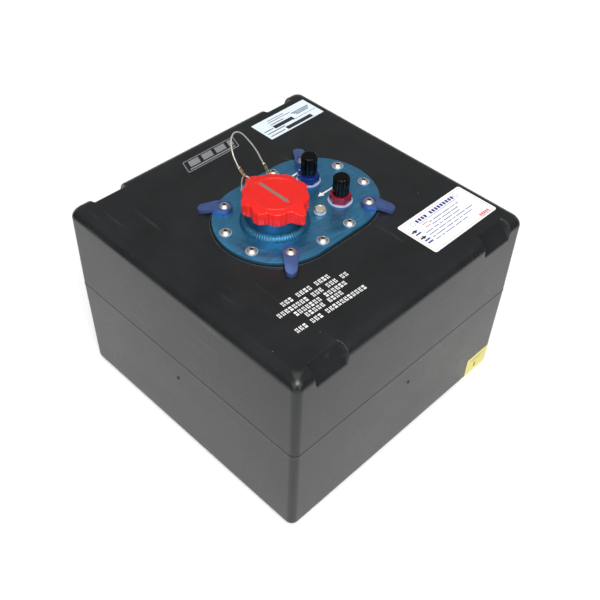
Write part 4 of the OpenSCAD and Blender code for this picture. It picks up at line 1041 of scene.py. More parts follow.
class FUELCELL_OT_container(bpy.types.Operator):
    """Make the moulded container with its strap recesses, opening and mould marks"""

    bl_idname = "fuel_cell.container"
    bl_label = "Container"

    def execute(self, context):
        sizes = context.scene.fuel_cell_sizes
        low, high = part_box("container")
        half_w = (high.x - low.x) / 2 - sizes.ridge_out
        half_d = (high.y - low.y) / 2 - sizes.ridge_out
        top = high.z
        wall = sizes.case_wall
        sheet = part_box("plate_gasket")
        opening_r = (sheet[1].y - sheet[0].y) / 2 + sizes.opening_gap
        spread = (sheet[1].x - sheet[0].x) / 2 - (sheet[1].y - sheet[0].y) / 2
        centre = middle_of("plate_gasket")

        recess = (sizes.strap_in, sizes.strap_down, sizes.strap_flare)
        rings = [
            self.ring(half_w, half_d, *level, sizes, 0.0, recess) for level in self.outer_levels(top, sizes)
        ]
        edge = sizes.opening_edge
        rim = [(edge * (1 - math.sin(a)), top - edge * (1 - math.cos(a))) for a in RIM_ANGLES]
        for grow, z in rim + [(0, top - wall)]:
            rings.append([self.oval_point(p, centre, spread, opening_r + grow, z) for p in rings[-1]])
        recess = (sizes.strap_inner, sizes.strap_inner, 0.0)
        inner = [
            self.ring(half_w - wall, half_d - wall, *level, sizes, wall, recess)
            for level in reversed(self.inner_levels(top, sizes))
        ]
        shell = piece(
            "container_moulding", loft(rings + inner), container_polyethylene(), "cell",
            ("container",),
        )
        # The large faces keep flat shading beside their rounded edges
        weighted = shell.modifiers.new("flat faces", "WEIGHTED_NORMAL")
        weighted.keep_sharp = True
        # A thin bead around the opening, painted pale: a painted highlight of the opening's rim
        bead = []
        for k in range(BEAD_STEPS):
            angle = TURN * k / BEAD_STEPS
            way = centre + Vector((math.cos(angle), math.sin(angle), 0))
            bead.append([
                self.oval_point(way, centre, spread, opening_r + out * MM, top + up * MM)
                for out, up in BEAD_PROFILE
            ])
        piece("opening_bead", loft(bead, closed=True), highlight_polyethylene(), "cell")
        self.mould_marks(low.x + sizes.ridge_out, low.y + sizes.ridge_out, sizes)
        return {"FINISHED"}

    @staticmethod
    def outer_levels(top, sizes):
        """Inset, height and corner radius up the outside and in across the top."""
        corner, base, edge = sizes.case_corner, sizes.case_base, sizes.case_top
        levels = []
        for k in range(10):
            a = math.radians(-90 + 10 * k)
            levels.append((sizes.case_draft + base * (1 - math.cos(a)), base + base * math.sin(a), corner))
        foot = sizes.parting - sizes.ridge_h / 2
        for share in (0.3, 0.6, 0.9, 1.0):
            levels.append((sizes.case_draft * (1 - share), base + (foot - base) * share, corner))
        for out, rise in PARTING_BAND:
            levels.append((-out * sizes.ridge_out, foot + rise * sizes.ridge_h, corner))
        for drop in SIDE_DROPS:
            levels.append((0.0, top - drop * MM, corner))
        for k in range(19):
            a = math.radians(5 * k)
            levels.append((edge * (1 - math.cos(a)), top - edge + edge * math.sin(a), corner))
        for step in TOP_STEPS:
            levels.append((edge + step * MM, top, corner - step * MM))
        return levels

    @staticmethod
    def inner_levels(top, sizes):
        """Inset, height and corner radius up the inside, from its floor to the underside of the top."""
        wall = sizes.case_wall
        corner, base, edge = sizes.case_corner - wall, sizes.case_base - wall, sizes.case_top - wall
        levels = []
        for k in range(4):
            a = math.radians(-90 + 30 * k)
            inset = sizes.case_draft + base * (1 - math.cos(a))
            levels.append((inset, wall + base + base * math.sin(a), corner))
        levels += [(0.0, sizes.parting, corner), (0.0, top - wall - INNER_DROP * MM, corner)]
        for k in range(10):
            a = math.radians(10 * k)
            levels.append((edge * (1 - math.cos(a)), top - wall - edge + edge * math.sin(a), corner))
        levels += [(edge + share * corner, top - wall, corner * (1 - share)) for share in (0.3, 0.6, 0.9)]
        return levels

    @staticmethod
    def ring(half_w, half_d, inset, z, corner, sizes, grow, recess):
        """Points around the container at one level, pressed in where the straps lie."""
        leg_in, leg_down, flare = recess
        slant = math.hypot(leg_in, leg_down)
        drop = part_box("container")[1].z - z
        over = (leg_in * leg_down - leg_down * (inset + grow) - leg_in * drop) / slant
        # The recess's face runs out softly into the side and the top
        run_out = sizes.strap_soft
        deep = max(over, 0.0) if abs(over) >= run_out else (over + run_out) ** 2 / (4 * run_out)
        # The recess's end walls slope, so they reach further along the edge where the recess is deeper
        reach = max(deep * flare, sizes.strap_end)
        lip = sizes.strap_lip
        steps = [-4 * lip, -lip, 0.0, lip, reach / 2] + [reach + k * lip for k in (-2, -1, 0, 1, 2, 4)]
        # Places along a side with recesses, from end to end, and along a plain side
        middle, half = sizes.strap_pitch / 2, sizes.strap_w / 2 + grow
        along = [x * MM for x in MIDDLE_STEPS] + [middle - half - step for step in reversed(steps)]
        along += [middle + k * 6 * MM for k in (-2, -1, 0, 1, 2)] + [middle + half + step for step in steps]
        along = [-x for x in reversed(along[1:])] + along
        across = [k * 20 * MM for k in range(-6, 7)]
        points = []
        for turn, (sx, sy) in enumerate(QUARTERS):
            for k in range(CORNER_STEPS + 1):
                a = TURN / 4 * (turn + k / CORNER_STEPS)
                points.append(Vector((
                    sx * (half_w - inset - corner) + corner * math.cos(a),
                    sy * (half_d - inset - corner) + corner * math.sin(a), z,
                )))
            if turn % 2 == 1:
                points += [Vector((sx * (half_w - inset), -sy * y, z)) for y in across]
                continue
            for x in along:
                beyond = max(abs(abs(x) - middle) - half, 0.0)
                push = deep * (1 - beyond / reach)
                # The upper edge of an end wall is rounded off
                soft = 2 * lip * deep / reach
                push = max(push, 0.0) if abs(push) >= soft else (push + soft) ** 2 / (4 * soft)
                y = half_d - inset - push * leg_down / slant
                points.append(Vector((-sx * x, sy * y, z - push * leg_in / slant)))
        return points

    @staticmethod
    def oval_point(point, centre, spread, r, z):
        """Point of the oval opening in the direction of a point around it."""
        way = (point - centre).xy.normalized()
        if abs(way.x) * r <= spread * abs(way.y):
            reach = r / abs(way.y)
        else:
            reach = spread * abs(way.x) + math.sqrt(r * r - (spread * way.y) ** 2)
        return Vector((centre.x + reach * way.x, centre.y + reach * way.y, z))

    @staticmethod
    def mould_marks(left, front, sizes):
        """Small dimpled nibs where the mould was vented, on the left and the front."""
        form = bmesh.new()
        profile = filleted([tuple(part * MM for part in corner) for corner in NIB_CORNERS])
        height = NIB_HEIGHT * MM
        inset = sizes.case_draft * (1 - (height - sizes.case_base) / (sizes.parting - sizes.case_base))
        for spot, turn in (
            (Vector((left + inset, NIB_LEFT * MM, height)), Matrix.Rotation(-TURN / 4, 4, "Y")),
            (Vector((NIB_FRONT * MM, front + inset, height)), Matrix.Rotation(TURN / 4, 4, "X")),
        ):
            nib = turned(profile, 28)
            bmesh.ops.transform(nib, matrix=Matrix.Translation(spot) @ turn, verts=nib.verts)
            mesh = bpy.data.meshes.new("nib")
            nib.to_mesh(mesh)
            form.from_mesh(mesh)
            nib.free()
            bpy.data.meshes.remove(mesh)
        piece("mould_vent_marks", form, container_polyethylene(), "cell")


class FUELCELL_OT_fill_plate(bpy.types.Operator):
    """Make the oval fill plate, its gasket and the marks on it"""

    bl_idname = "fuel_cell.fill_plate"
    bl_label = "Fill plate"

    def execute(self, context):
        sizes = context.scene.fuel_cell_sizes
        finished("fill_plate", plate_anodised(), sizes.plate_edge)
        finished("plate_gasket", gasket_rubber(), sizes.small_edge)
        z = deck().z
        arrows = [arrow(39.5, y, 24, 6.5, way, shaft=0.3) for y, way in ((40.5, 0.0), (-2.0, math.pi))]
        printed("port_arrows", arrows, z, printed_ink("white_screen_print", "white_paint"))
        # Nine uneven ticks over one long line
        ticks = [
            bar(-15 + 4.1 * k, -39.6 + 0.5 * (k % 3), 0.45, 3.2 + 0.6 * (k % 2), -0.3) for k in range(9)
        ]
        printed("scribed_tally", ticks + [bar(1.5, -42.6, 33, 0.35)], z, bare_aluminium())
        return {"FINISHED"}


class FUELCELL_OT_fasteners(bpy.types.Operator):
    """Make the button screws and the plain washers around the fill plate"""

    bl_idname = "fuel_cell.fasteners"
    bl_label = "Plate screws"

    def execute(self, context):
        sizes = context.scene.fuel_cell_sizes
        head_h, socket, shank = sizes.screw_head_h, sizes.socket_af, sizes.screw_d / 2
        skin, lip = 0.04 * MM, 0.3 * MM
        screws, shade_films = bmesh.new(), bmesh.new()
        for low, high in islands("plate_screws"):
            r = (high.x - low.x) / 2
            dome = (r * r + head_h * head_h) / (2 * head_h)

            def height(x, top=high.z, dome=dome):
                return top - dome + math.sqrt(dome * dome - x * x)

            seat = high.z - head_h
            floor = high.z - sizes.socket_depth
            profile = [(0.0, low.z), (shank - lip, low.z), (shank, low.z + lip)]
            profile += [(shank, seat), (r - lip, seat)]
            # A short rounded brim ends the dome
            profile += [(r - 0.1 * MM, seat + 0.12 * MM), (r - 0.05 * MM, seat + 0.45 * MM)]
            profile += [(x, height(x)) for x in [r * k / 10 for k in (9.5, 9, 8, 7, 6, 5)]]
            profile += [
                lambda a: (hexagon(socket, a) + lip / 2, height(hexagon(socket, a) + lip / 2)),
                lambda a: (hexagon(socket, a), height(hexagon(socket, a)) - lip / 2),
                lambda a, z=floor: (hexagon(socket, a), z), (0.0, floor),
            ]
            middle = (low + high) / 2
            turned(profile, 48, middle, into=screws)
            # A film of painted shade lines the socket up to just under its edge
            film = [
                (0.0, floor + skin), lambda a, z=floor: (hexagon(socket, a) - 2 * skin, z + skin),
                lambda a: (hexagon(socket, a) - 2 * skin, height(hexagon(socket, a)) - lip),
                lambda a: (hexagon(socket, a) - skin / 2, height(hexagon(socket, a)) - lip),
                lambda a, z=floor: (hexagon(socket, a) - skin / 2, z + skin / 2), (0.0, floor + skin / 2),
            ]
            turned(film, 48, middle, into=shade_films)
        piece("button_screws", screws, stainless_steel(), "cell", ("plate_screws",), crease=32)
        piece("socket_films", shade_films, socket_shade_finish(), "cell")

        washers = bmesh.new()
        for low, high in islands("plate_washers"):
            profile = washer_profile(
                shank + sizes.washer_play, (high.x - low.x) / 2, low.z, high.z, 0.35 * MM
            )
            turned(profile, 56, (low + high) / 2, closed=True, into=washers)
        piece("plain_washers", washers, zinc_plate(), "cell", ("plate_washers",))
        return {"FINISHED"}


class FUELCELL_OT_tabs(bpy.types.Operator):
    """Make the four hold-up tabs"""

    bl_idname = "fuel_cell.tabs"
    bl_label = "Hold-up tabs"

    def execute(self, context):
        edge = context.scene.fuel_cell_sizes.tab_edge
        for node in ("tab_back_right", "tab_front_right", "tab_front_left", "tab_back_left"):
            finished(node, tab_anodised(), edge, segments=4)
        return {"FINISHED"}


class FUELCELL_OT_neck(bpy.types.Operator):
    """Make the filler neck with its thread and its weld bead"""

    bl_idname = "fuel_cell.neck"
    bl_label = "Filler neck"

    def execute(self, context):
        sizes = context.scene.fuel_cell_sizes
        low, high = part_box("filler_neck")
        axis, r = middle_of("cap_seal"), radius_of("cap_seal")
        bore = r - sizes.neck_wall
        floor = deck().z
        leg = sizes.weld_leg
        crest, pitch = sizes.neck_thread, sizes.neck_pitch
        lip, root = 0.5 * MM, 0.2 * MM
        profile = [(bore, low.z), (r, low.z), (r, floor + leg)]
        profile += threaded(r + crest, crest, pitch, high.z - NECK_TURNS * pitch, high.z - 2 * lip, 10)
        profile += [(r, high.z - lip), (r - lip, high.z), (bore + lip, high.z), (bore, high.z - lip)]
        form = turned(profile, 120, axis, closed=True)
        # The tube takes the fill plate's blue at a darker tone: painted shade under the cap
        piece("filler_neck_tube", form, shaded_neck_anodised(), "cell", ("filler_neck",))

        ripples = round(TURN * (r + leg / 2) / sizes.weld_pitch)
        bead = [(r - root, floor), (r + leg, floor)]
        steps = 12
        for k in range(steps + 1):
            a = TURN / 4 * k / steps
            swell = math.sin(2 * a) ** 0.5

            def ring(angle, a=a, swell=swell):
                # The ripples lean one way, as in a weld that is laid in one direction
                phase = ripples * angle / TURN + WELD_LEAN * math.sin(a)
                wave = 1 - (phase % 1.0) ** 1.5
                wander = 0.12 * MM * math.sin(7 * angle) + 0.1 * MM * math.sin(13 * angle + 1)
                reach = leg + swell * (wander - sizes.weld_depth * wave)
                return r + reach * math.cos(a), floor + reach * math.sin(a)

            bead.append(ring)
        bead.append((r - root, floor + leg))
        form = turned(bead, ripples * 6, axis, closed=True)
        piece("neck_weld_bead", form, weld_anodised(), "cell", crease=50)
        return {"FINISHED"}


class FUELCELL_OT_cap(bpy.types.Operator):
    """Make the lobed filler cap, its mark and its seal"""

    bl_idname = "fuel_cell.cap"
    bl_label = "Filler cap"

    def execute(self, context):
        sizes = context.scene.fuel_cell_sizes
        low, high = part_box("filler_cap")
        axis = middle_of("cap_seal")
        bore = radius_of("cap_seal") + sizes.cap_play
        top = high.z - sizes.ring_h
        ceiling = top - sizes.cap_top
        body = bore + sizes.cap_wall
        ribs = 2 * round(TURN * (body + sizes.lobe_out / 2) / sizes.rib_pitch / 2)
        sides = ribs * 8
        outline = self.outline(sides, body, sizes)
        tip = sizes.ear_reach + sizes.ear_tip
        flat, edge = sizes.crown_flat, sizes.cap_edge
        foot, lip, lead = 0.6 * MM, 0.4 * MM, 0.5 * MM

        def reach(angle):
            k = round(angle / TURN * sides) % sides
            groove = 0.5 - 0.5 * math.cos(TURN * ribs * k / sides)
            return outline[k] - sizes.rib_depth * groove

        def crown(r):
            over = max(0.0, r - flat) / (tip - flat)
            return top - sizes.crown_drop * over

        profile = [(0.0, ceiling), (bore - lead, ceiling), (bore, ceiling - lead), (bore, low.z + lip)]
        profile.append((bore + lip, low.z))
        for k in range(4):
            a = TURN / 4 * k / 3
            profile.append(
                lambda t, a=a: (reach(t) - foot * (1 - math.sin(a)), low.z + foot * (1 - math.cos(a)))
            )
        for k in range(7):
            a = TURN / 4 * k / 6

            def ring(t, a=a):
                r = reach(t) - edge * (1 - math.cos(a))
                return r, crown(reach(t) - edge) - edge * (1 - math.sin(a))

            profile.append(ring)
        for share in (0.66, 0.33):

            def slope(t, share=share):
                r = flat * (1 - share) + share * (reach(t) - edge)
                return r, crown(r)

            profile.append(slope)
        # The raised ring has a rounded back and runs out softly on both sides
        for k in range(-8, 9):
            rise = 0.5 + 0.5 * math.cos(math.pi * k / 8)
            r = sizes.ring_r - sizes.ring_w / 2 - 0.8 * sizes.ring_w * k / 8
            profile.append((r, top + sizes.ring_h * rise))
        profile += [(share * sizes.ring_r, top) for share in (0.8, 0.5, 0.2)] + [(0.0, top)]
        form = turned(profile, sides, axis)
        cap = piece("filler_cap_casting", form, cap_powder_coat(), None, crease=CAP_CREASE)
        hole_r, start, stop = sizes.ear_hole / 2, low.z - MM, high.z + MM
        ear = (axis.x, axis.y + sizes.ear_reach)
        self.drill(cap, turned([(0.0, start), (hole_r, start), (hole_r, stop), (0.0, stop)], 40, ear))
        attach(cap, "cap")
        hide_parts("filler_cap")

        mark = arrow(axis.x / MM, axis.y / MM + 1.5, 42, 6, -TURN / 4, shaft=0.62)
        printed("cap_arrow", [mark], top, printed_ink("brown_screen_print", "brown_ink"), "cap")
        finished("cap_seal", gasket_rubber(), sizes.small_edge, "cap_seat")
        return {"FINISHED"}

    @staticmethod
    def outline(sides, body, sizes):
        """Distances from the axis to the cap's lobed and eared outline, with its notches filled a little."""
        # On each side four lobes stand a tenth of a turn apart, between the two ears
        half = TURN / 20
        ear_reach, tip = sizes.ear_reach, sizes.ear_tip
        lobes = []
        for middle in (sizes.lobe_lean, math.pi - sizes.lobe_lean):
            for side in (-1, 1):
                lobes.append((middle + side * half, sizes.lobe_out, sizes.lobe_r))
                lobes.append((middle + 3 * side * half, sizes.side_lobe_out, sizes.side_lobe_r))
        raw = []
        for k in range(sides):
            angle = TURN * k / sides
            r = body
            for lobe, out, lobe_r in lobes:
                away = body + out - lobe_r
                off = away * math.sin(angle - lobe)
                if abs(off) < lobe_r and math.cos(angle - lobe) > 0:
                    r = max(r, away * math.cos(angle - lobe) + math.sqrt(lobe_r ** 2 - off * off))
            for ear, root in ((TURN / 4, sizes.hole_ear_root), (3 * TURN / 4, sizes.ear_root)):
                flank = math.acos((root - tip) / ear_reach)
                touch = math.atan2(tip * math.sin(flank), ear_reach + tip * math.cos(flank))
                turn = abs((angle - ear + math.pi) % TURN - math.pi)
                if turn < touch:
                    off = ear_reach * math.sin(turn)
                    r = max(r, ear_reach * math.cos(turn) + math.sqrt(tip ** 2 - off * off))
                elif turn < flank:
                    r = max(r, root / math.cos(turn - flank))
            raw.append(r)
        window = round(sides * NOTCH_FILL / 360)
        near = range(-window, window + 1)
        weights = [math.exp(-2 * (i / window) ** 2) for i in near]
        return [
            sum(w * raw[(k + i) % sides] for i, w in zip(near, weights)) / sum(weights) for k in range(sides)
        ]

    @staticmethod
    def drill(made, hole):
        """Cut a drilled hole out of a piece."""
        mesh = bpy.data.meshes.new("drill")
        tidied(hole).to_mesh(mesh)
        hole.free()
        bit = bpy.data.objects.new("drill", mesh)
        bpy.context.scene.collection.objects.link(bit)
        cut = made.modifiers.new("drilled", "BOOLEAN")
        cut.object = bit
        cut.solver = "EXACT"
        bpy.context.view_layer.update()
        result = bpy.data.meshes.new_from_object(made.evaluated_get(bpy.context.evaluated_depsgraph_get()))
        made.modifiers.clear()
        made.data = result
        result.set_sharp_from_angle(angle=math.radians(CAP_CREASE))
        bpy.data.objects.remove(bit)


class FUELCELL_OT_flapper(bpy.types.Operator):
    """Finish the flapper valve under the neck"""

    bl_idname = "fuel_cell.flapper"
    bl_label = "Flapper valve"

    def execute(self, context):
        edge = context.scene.fuel_cell_sizes.small_edge
        finished("flapper_housing", bare_aluminium(), edge)
        finished("flapper_disc", bare_aluminium(), edge, "flapper")
        finished("flapper_seal", gasket_rubber(), edge, "flapper")
        finished("flapper_pin", stainless_steel(), edge)
        spring = bmesh.new()
        spring.from_mesh(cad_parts["flapper_spring"].data)
        made = piece(
            "flapper_spring_wire", spring, stainless_steel(), "cell", ("flapper_spring",),
            crease=75,
        )
        smooth = made.modifiers.new("round wire", "SUBSURF")
        smooth.levels = smooth.render_levels = 2
        return {"FINISHED"}


class FUELCELL_OT_ports(bpy.types.Operator):
    """Make the outlet and the vent: washers, threaded fittings, nuts and dust caps"""

    bl_idname = "fuel_cell.ports"
    bl_label = "Ports"

    def execute(self, context):
        sizes = context.scene.fuel_cell_sizes
        for port, dye in (("outlet", "navy_anodised"), ("vent", "burgundy_anodised")):
            self.washer(port, sizes)
            self.fitting(port, port_anodised(dye + "_aluminium", port), dye, sizes)
            self.dust_cap(port, sizes)
            finished(port + "_nut", bare_aluminium(), sizes.small_edge)
        return {"FINISHED"}

    @staticmethod
    def washer(port, sizes):
        """White washer with a rounded rim."""
        node = port + "_washer"
        low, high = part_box(node)
        profile = washer_profile(
            sizes.port_d / 2 + 0.2 * MM, radius_of(node), low.z, high.z, 0.45 * MM
        )
        form = turned(profile, 96, middle_of(node), closed=True)
        piece(port + "_sealing_washer", form, white_nylon(), "cell", (node,))

    @staticmethod
    def fitting(port, finish, slot, sizes):
        """Fitting with a chamfered hexagon, a cut thread, a sealing cone and a bore."""
        node = port + "_fitting"
        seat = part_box(port + "_washer")[1].z
        shank_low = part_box("vent_fitting")[0].z
        low, high = (corner.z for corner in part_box(node))
        r, bore = sizes.port_d / 2, sizes.port_bore / 2
        spigot, wall = sizes.spigot_r, sizes.spigot_wall
        depth, pitch = sizes.port_thread, sizes.port_pitch
        hex_top = seat + sizes.hex_h
        cone = high - sizes.cone_h
        has_spigot = low < shank_low - MM
        profile = [(bore, shank_low)]
        if has_spigot:
            profile = [(spigot - wall, low), (spigot, low), (spigot, shank_low)]
        profile += [(r - 0.6 * MM, shank_low)]
        profile += threaded(r, depth, pitch, shank_low + 0.5 * MM, seat - 0.2 * MM, 6)
        profile += [(r - 0.3 * MM, seat)]
        profile += chamfered_hexagon(sizes.hex_af, seat, hex_top, sizes.hex_turn)
        profile += [(r + 0.9 * MM, hex_top), (r - 0.8 * MM, hex_top + 0.6 * MM)]
        profile += threaded(r, depth, pitch, hex_top + 1.4 * MM, cone - 0.2 * MM)
        profile += [(r - 0.9 * MM, cone), (bore + 0.7 * MM, high)]
        profile += [(bore + 0.15 * MM, high), (bore, high - 0.3 * MM)]
        if has_spigot:
            profile += [(bore, shank_low), (spigot - wall, shank_low - MM)]
        form = turned(profile, 96, middle_of(port + "_washer"), closed=True)
        piece(port + "_threaded_fitting", form, finish, "cell", (node,), crease=28)

    @staticmethod
    def dust_cap(port, sizes):
        """Push-on cap with a rounded end and a fluted side."""
        node = port + "_dust_cap"
        low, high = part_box(node)
        r = radius_of(node)
        bore = r - sizes.dust_wall
        ceiling = high.z - sizes.dust_end
        edge, lip = sizes.dust_edge, 0.3 * MM

        def side(angle, share):
            wave = 0.5 + 0.5 * math.cos(sizes.flutes * angle)
            return r - share * sizes.flute_depth * wave

        profile = [(0.0, ceiling), (bore, ceiling), (bore, low.z + lip), (bore + lip, low.z)]
        profile += [lambda a: (side(a, 0.4) - lip, low.z), lambda a: (side(a, 1.0), low.z + 0.5 * MM)]
        rise = high.z - edge - low.z
        profile += [lambda a, z=low.z + rise * s: (side(a, 1.0), z) for s in (0.4, 0.8, 0.98)]
        for k in range(1, 8):
            t = TURN / 4 * k / 7

            def ring(a, t=t):
                fade = 1.0 - math.sin(t) ** 6
                return side(a, fade) - edge * (1 - math.cos(t)), high.z - edge * (1 - math.sin(t))

            profile.append(ring)
        # The end is dished a little
        profile += [(r * 0.5, high.z), (0.0, high.z - 0.12 * MM)]
        form = turned(profile, sizes.flutes * 10, middle_of(node))
        piece(port + "_dust_cover", form, dust_vinyl(), port + "_cap", (node,), crease=60)


class FUELCELL_OT_ground(bpy.types.Operator):
    """Make the ground screw with its washer and nut"""

    bl_idname = "fuel_cell.ground"
    bl_label = "Ground screw"

    def execute(self, context):
        sizes = context.scene.fuel_cell_sizes
        low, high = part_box("ground_screw")
        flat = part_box("ground_washer")
        axis = middle_of("ground_washer")
        r = sizes.ground_d / 2
        seat = high.z - sizes.ground_head
        dish, lead = DISH_SHARE * sizes.ground_af, 0.4 * MM
        profile = [(0.0, low.z), (r - lead, low.z), (r, low.z + lead), (r, seat)]
        profile += chamfered_hexagon(sizes.ground_af, seat, high.z)
        profile += [(dish, high.z), (dish - 0.5 * MM, high.z - 0.35 * MM), (0.0, high.z - 0.45 * MM)]
        form = turned(profile, 72, axis)
        piece("ground_hex_screw", form, yellow_zinc(), "cell", ("ground_screw",), crease=28)
        profile = washer_profile(
            r + sizes.washer_play, radius_of("ground_washer"), flat[0].z, flat[1].z, 0.4 * MM
        )
        form = turned(profile, 72, axis, closed=True)
        piece("ground_sealing_washer", form, white_nylon(), "cell", ("ground_washer",))
        finished("ground_nut", yellow_zinc(), sizes.small_edge)
        return {"FINISHED"}


class FUELCELL_OT_inside(bpy.types.Operator):
    """Finish what lies inside the container: bladder, foam, nut ring, pick-up and roll-over valve"""

    bl_idname = "fuel_cell.inside"
    bl_label = "Inside"

    def execute(self, context):
        edge = context.scene.fuel_cell_sizes.small_edge
        finished("bladder", bladder_fabric(), edge)
        for node in ("foam_lower_left", "foam_lower_right", "foam_upper_left", "foam_upper_right"):
            block = finished(node, open_foam(), edge)
        finished("nut_ring", zinc_plate(), edge)
        finished("pickup_hose", gasket_rubber(), edge)
        finished("hose_clamps", stainless_steel(), edge)
        finished("pickup_filter", white_nylon(), edge)
        finished("rollover_body", bare_aluminium(), edge)
        finished("rollover_plug", bare_aluminium(), edge)
        finished("rollover_ball", stainless_steel(), edge, "ball")
        return {"FINISHED"}


class FUELCELL_OT_labels(bpy.types.Operator):
    """Put on the plain stickers and the stencilled bars"""

    bl_idname = "fuel_cell.labels"
    bl_label = "Stickers and stencil"

    def execute(self, context):
        sizes = context.scene.fuel_cell_sizes
        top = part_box("container")[1].z
        self.data_sticker(top, sizes)
        self.notice_sticker(top, sizes)
        self.stencil(top)
        self.printed_frame(top)
        self.side_sticker(sizes)
        return {"FINISHED"}

    @staticmethod
    def data_sticker(top, sizes):
        """Pale blue sticker with blank fields at the back."""
        face = top + sizes.sticker_t
        form = slab(rounded_bar(108.5, 124, 83, 34.4, 0.8), top, face)
        piece("data_sticker", form, sticker_vinyl("pale_blue_vinyl", "data_sticker"))
        bars = [bar(*field) for field in DATA_FIELDS]
        printed("data_sticker_bars", bars, face, printed_ink("black_screen_print", "black_ink"))
        stripes = [bar(132.5, 129.4 - 2.4 * k, 27 - 4 * k, 1.4) for k in range(3)]
        stripes.append(bar(129.5, 118.9, 36, 0.6))
        printed("data_sticker_stripes", stripes, face, printed_ink("teal_screen_print", "teal_ink"))

    @staticmethod
    def notice_sticker(top, sizes):
        """White sticker with a thin frame, a heading of narrow bars and rows of plain bars at the right."""
        face = top + sizes.sticker_t
        x, y, w, h = 101.7, -113, 99.6, 50.4
        form = slab(rounded_bar(x, y, w, h, 2.6), top, face)
        piece("notice_sticker", form, sticker_vinyl("white_vinyl", "sticker"))
        frame_line = (rounded_bar(x, y, w - 4.4, h - 4.4, 1.6), rounded_bar(x, y, w - 5.1, h - 5.1, 1.3))
        red = [bar(u + 2.5 * k, v, 1.7, 1.4) for u, v in ((78.5, -102.3), (77.5, -107.2)) for k in (-1, 0, 1)]
        red += [bar(130.5 + 3 * k, -133, 2.1, 3.4) for k in range(5)] + [bar(136.5, -136, 15, 0.6)]
        red_ink = printed_ink("red_screen_print", "red_ink")
        printed("notice_red_bars", red, face, red_ink, frames=[frame_line])
        # Heading of narrow bars in two groups, with a line under it
        navy = [bar(74.5 + 4.35 * k, -95.2, 2.9, 4.4) for k in (0, 1, 2, 3, *range(5, 14))]
        navy.append(bar(102.5, -99.2, 60, 0.5))
        # Rows of bars with gaps at uneven steps
        for row in range(6):
            at, stop = 68.0 + (15 if row < 2 else 0), 132 - 9 * (row % 3)
            step = 0
            while at < stop:
                long = 4.5 + 3.1 * ((row * 5 + step * 3) % 4)
                navy.append(bar(at + long / 2, -104.2 - 4.3 * row, long, 0.85))
                at += long + 1.6
                step += 1
        navy += [bar(61, v, 7.6, 1.9) for v in (-108.6, -120.1, -124.2)]
        printed("notice_navy_bars", navy, face, printed_ink("navy_screen_print", "navy_ink"))
        arrows = [arrow(60.5, v, 8.6, 5.2) for v in (-104, -115.5)]
        printed("notice_black_arrows", arrows, face, printed_ink("black_screen_print", "black_ink"))
        rings = bmesh.new()
        profile = washer_profile(2.5 * MM, 3.0 * MM, face, face + sizes.ink_t, 0.01 * MM)
        for u in (68.2, 136.8):
            turned(profile, 40, (u * MM, -95.6 * MM), closed=True, into=rings)
        piece("notice_grey_rings", rings, printed_ink("grey_screen_print", "grey_ink"))

    @staticmethod
    def stencil(top):
        """Five rows of plain stencilled bars at the front left."""
        bars = []
        lean = math.radians(-2.4)
        for row, (x, y, groups) in enumerate(STENCIL_ROWS):
            cell = 0
            for count in groups:
                for k in range(count):
                    u = x + STENCIL_PITCH * (cell + 0.5) * math.cos(lean)
                    v = y + STENCIL_PITCH * (cell + 0.5) * math.sin(lean)
                    if (row + k * 3) % 4 < 2:
                        # Two upright bars with a stencil bridge between their halves
                        parts = [(s * 0.95, t * 1.55, 1.15, 2.3) for s in (-1, 1) for t in (-1, 1)]
                    elif (row + k) % 2:
                        parts = [(-1.0, 0, 1.1, 5.4), (0.95, 1.6, 1.3, 2.2), (0.95, -1.6, 1.3, 2.2)]
                    else:
                        parts = [(0, 1.6, 3.1, 2.2), (0, -1.6, 3.1, 2.2)]
                    for across, up, w, h in parts:
                        bars.append(bar(u + across - up * math.sin(lean), v + up, w, h, lean))
                    cell += 1
                cell += 1
        printed("stencilled_bars", bars, top, printed_ink("white_stencil_paint", "white_paint"))

    @staticmethod
    def printed_frame(top):
        """Slanted grey frame with plain bars at the back left."""
        slant, y = 0.34, 132

        def leaning(outline):
            return [(u + slant * (v - y * MM), v) for u, v in outline]

        edges = [leaning(rounded_bar(-0.5, y, *size)) for size in ((72.5, 18.6, 1.8), (70.3, 16.4, 1.2))]
        bars = [leaning(bar(x, 134, w, 9.4)) for x, w in ((-23.5, 14), (-5, 14), (13.5, 14), (28.3, 7))]
        bars.append(leaning(bar(-0.5, 126.3, 64, 2.0)))
        grey_ink = printed_ink("grey_screen_print", "grey_ink")
        printed("printed_grey_frame", bars, top, grey_ink, frames=[edges])

    @staticmethod
    def side_sticker(sizes):
        """Yellow sticker low on the front, that follows the wall, the base's edge and the corner."""
        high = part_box("container")[1]
        half_w, half_d = high.x - sizes.ridge_out, high.y - sizes.ridge_out

        def spot(run, z, out):
            base, corner = sizes.case_base, sizes.case_corner
            if z < base:
                inset = sizes.case_draft + base - math.sqrt(base * base - (base - z) ** 2)
            else:
                inset = sizes.case_draft * (1 - (z - base) / (sizes.parting - sizes.ridge_h / 2 - base))
            straight = half_w - inset - corner
            turn = max(0.0, run - straight) / corner
            x = min(run, straight) + (corner + out) * math.sin(turn)
            y = -(half_d - inset - corner) - (corner + out) * math.cos(turn)
            return Vector((x, y, z))

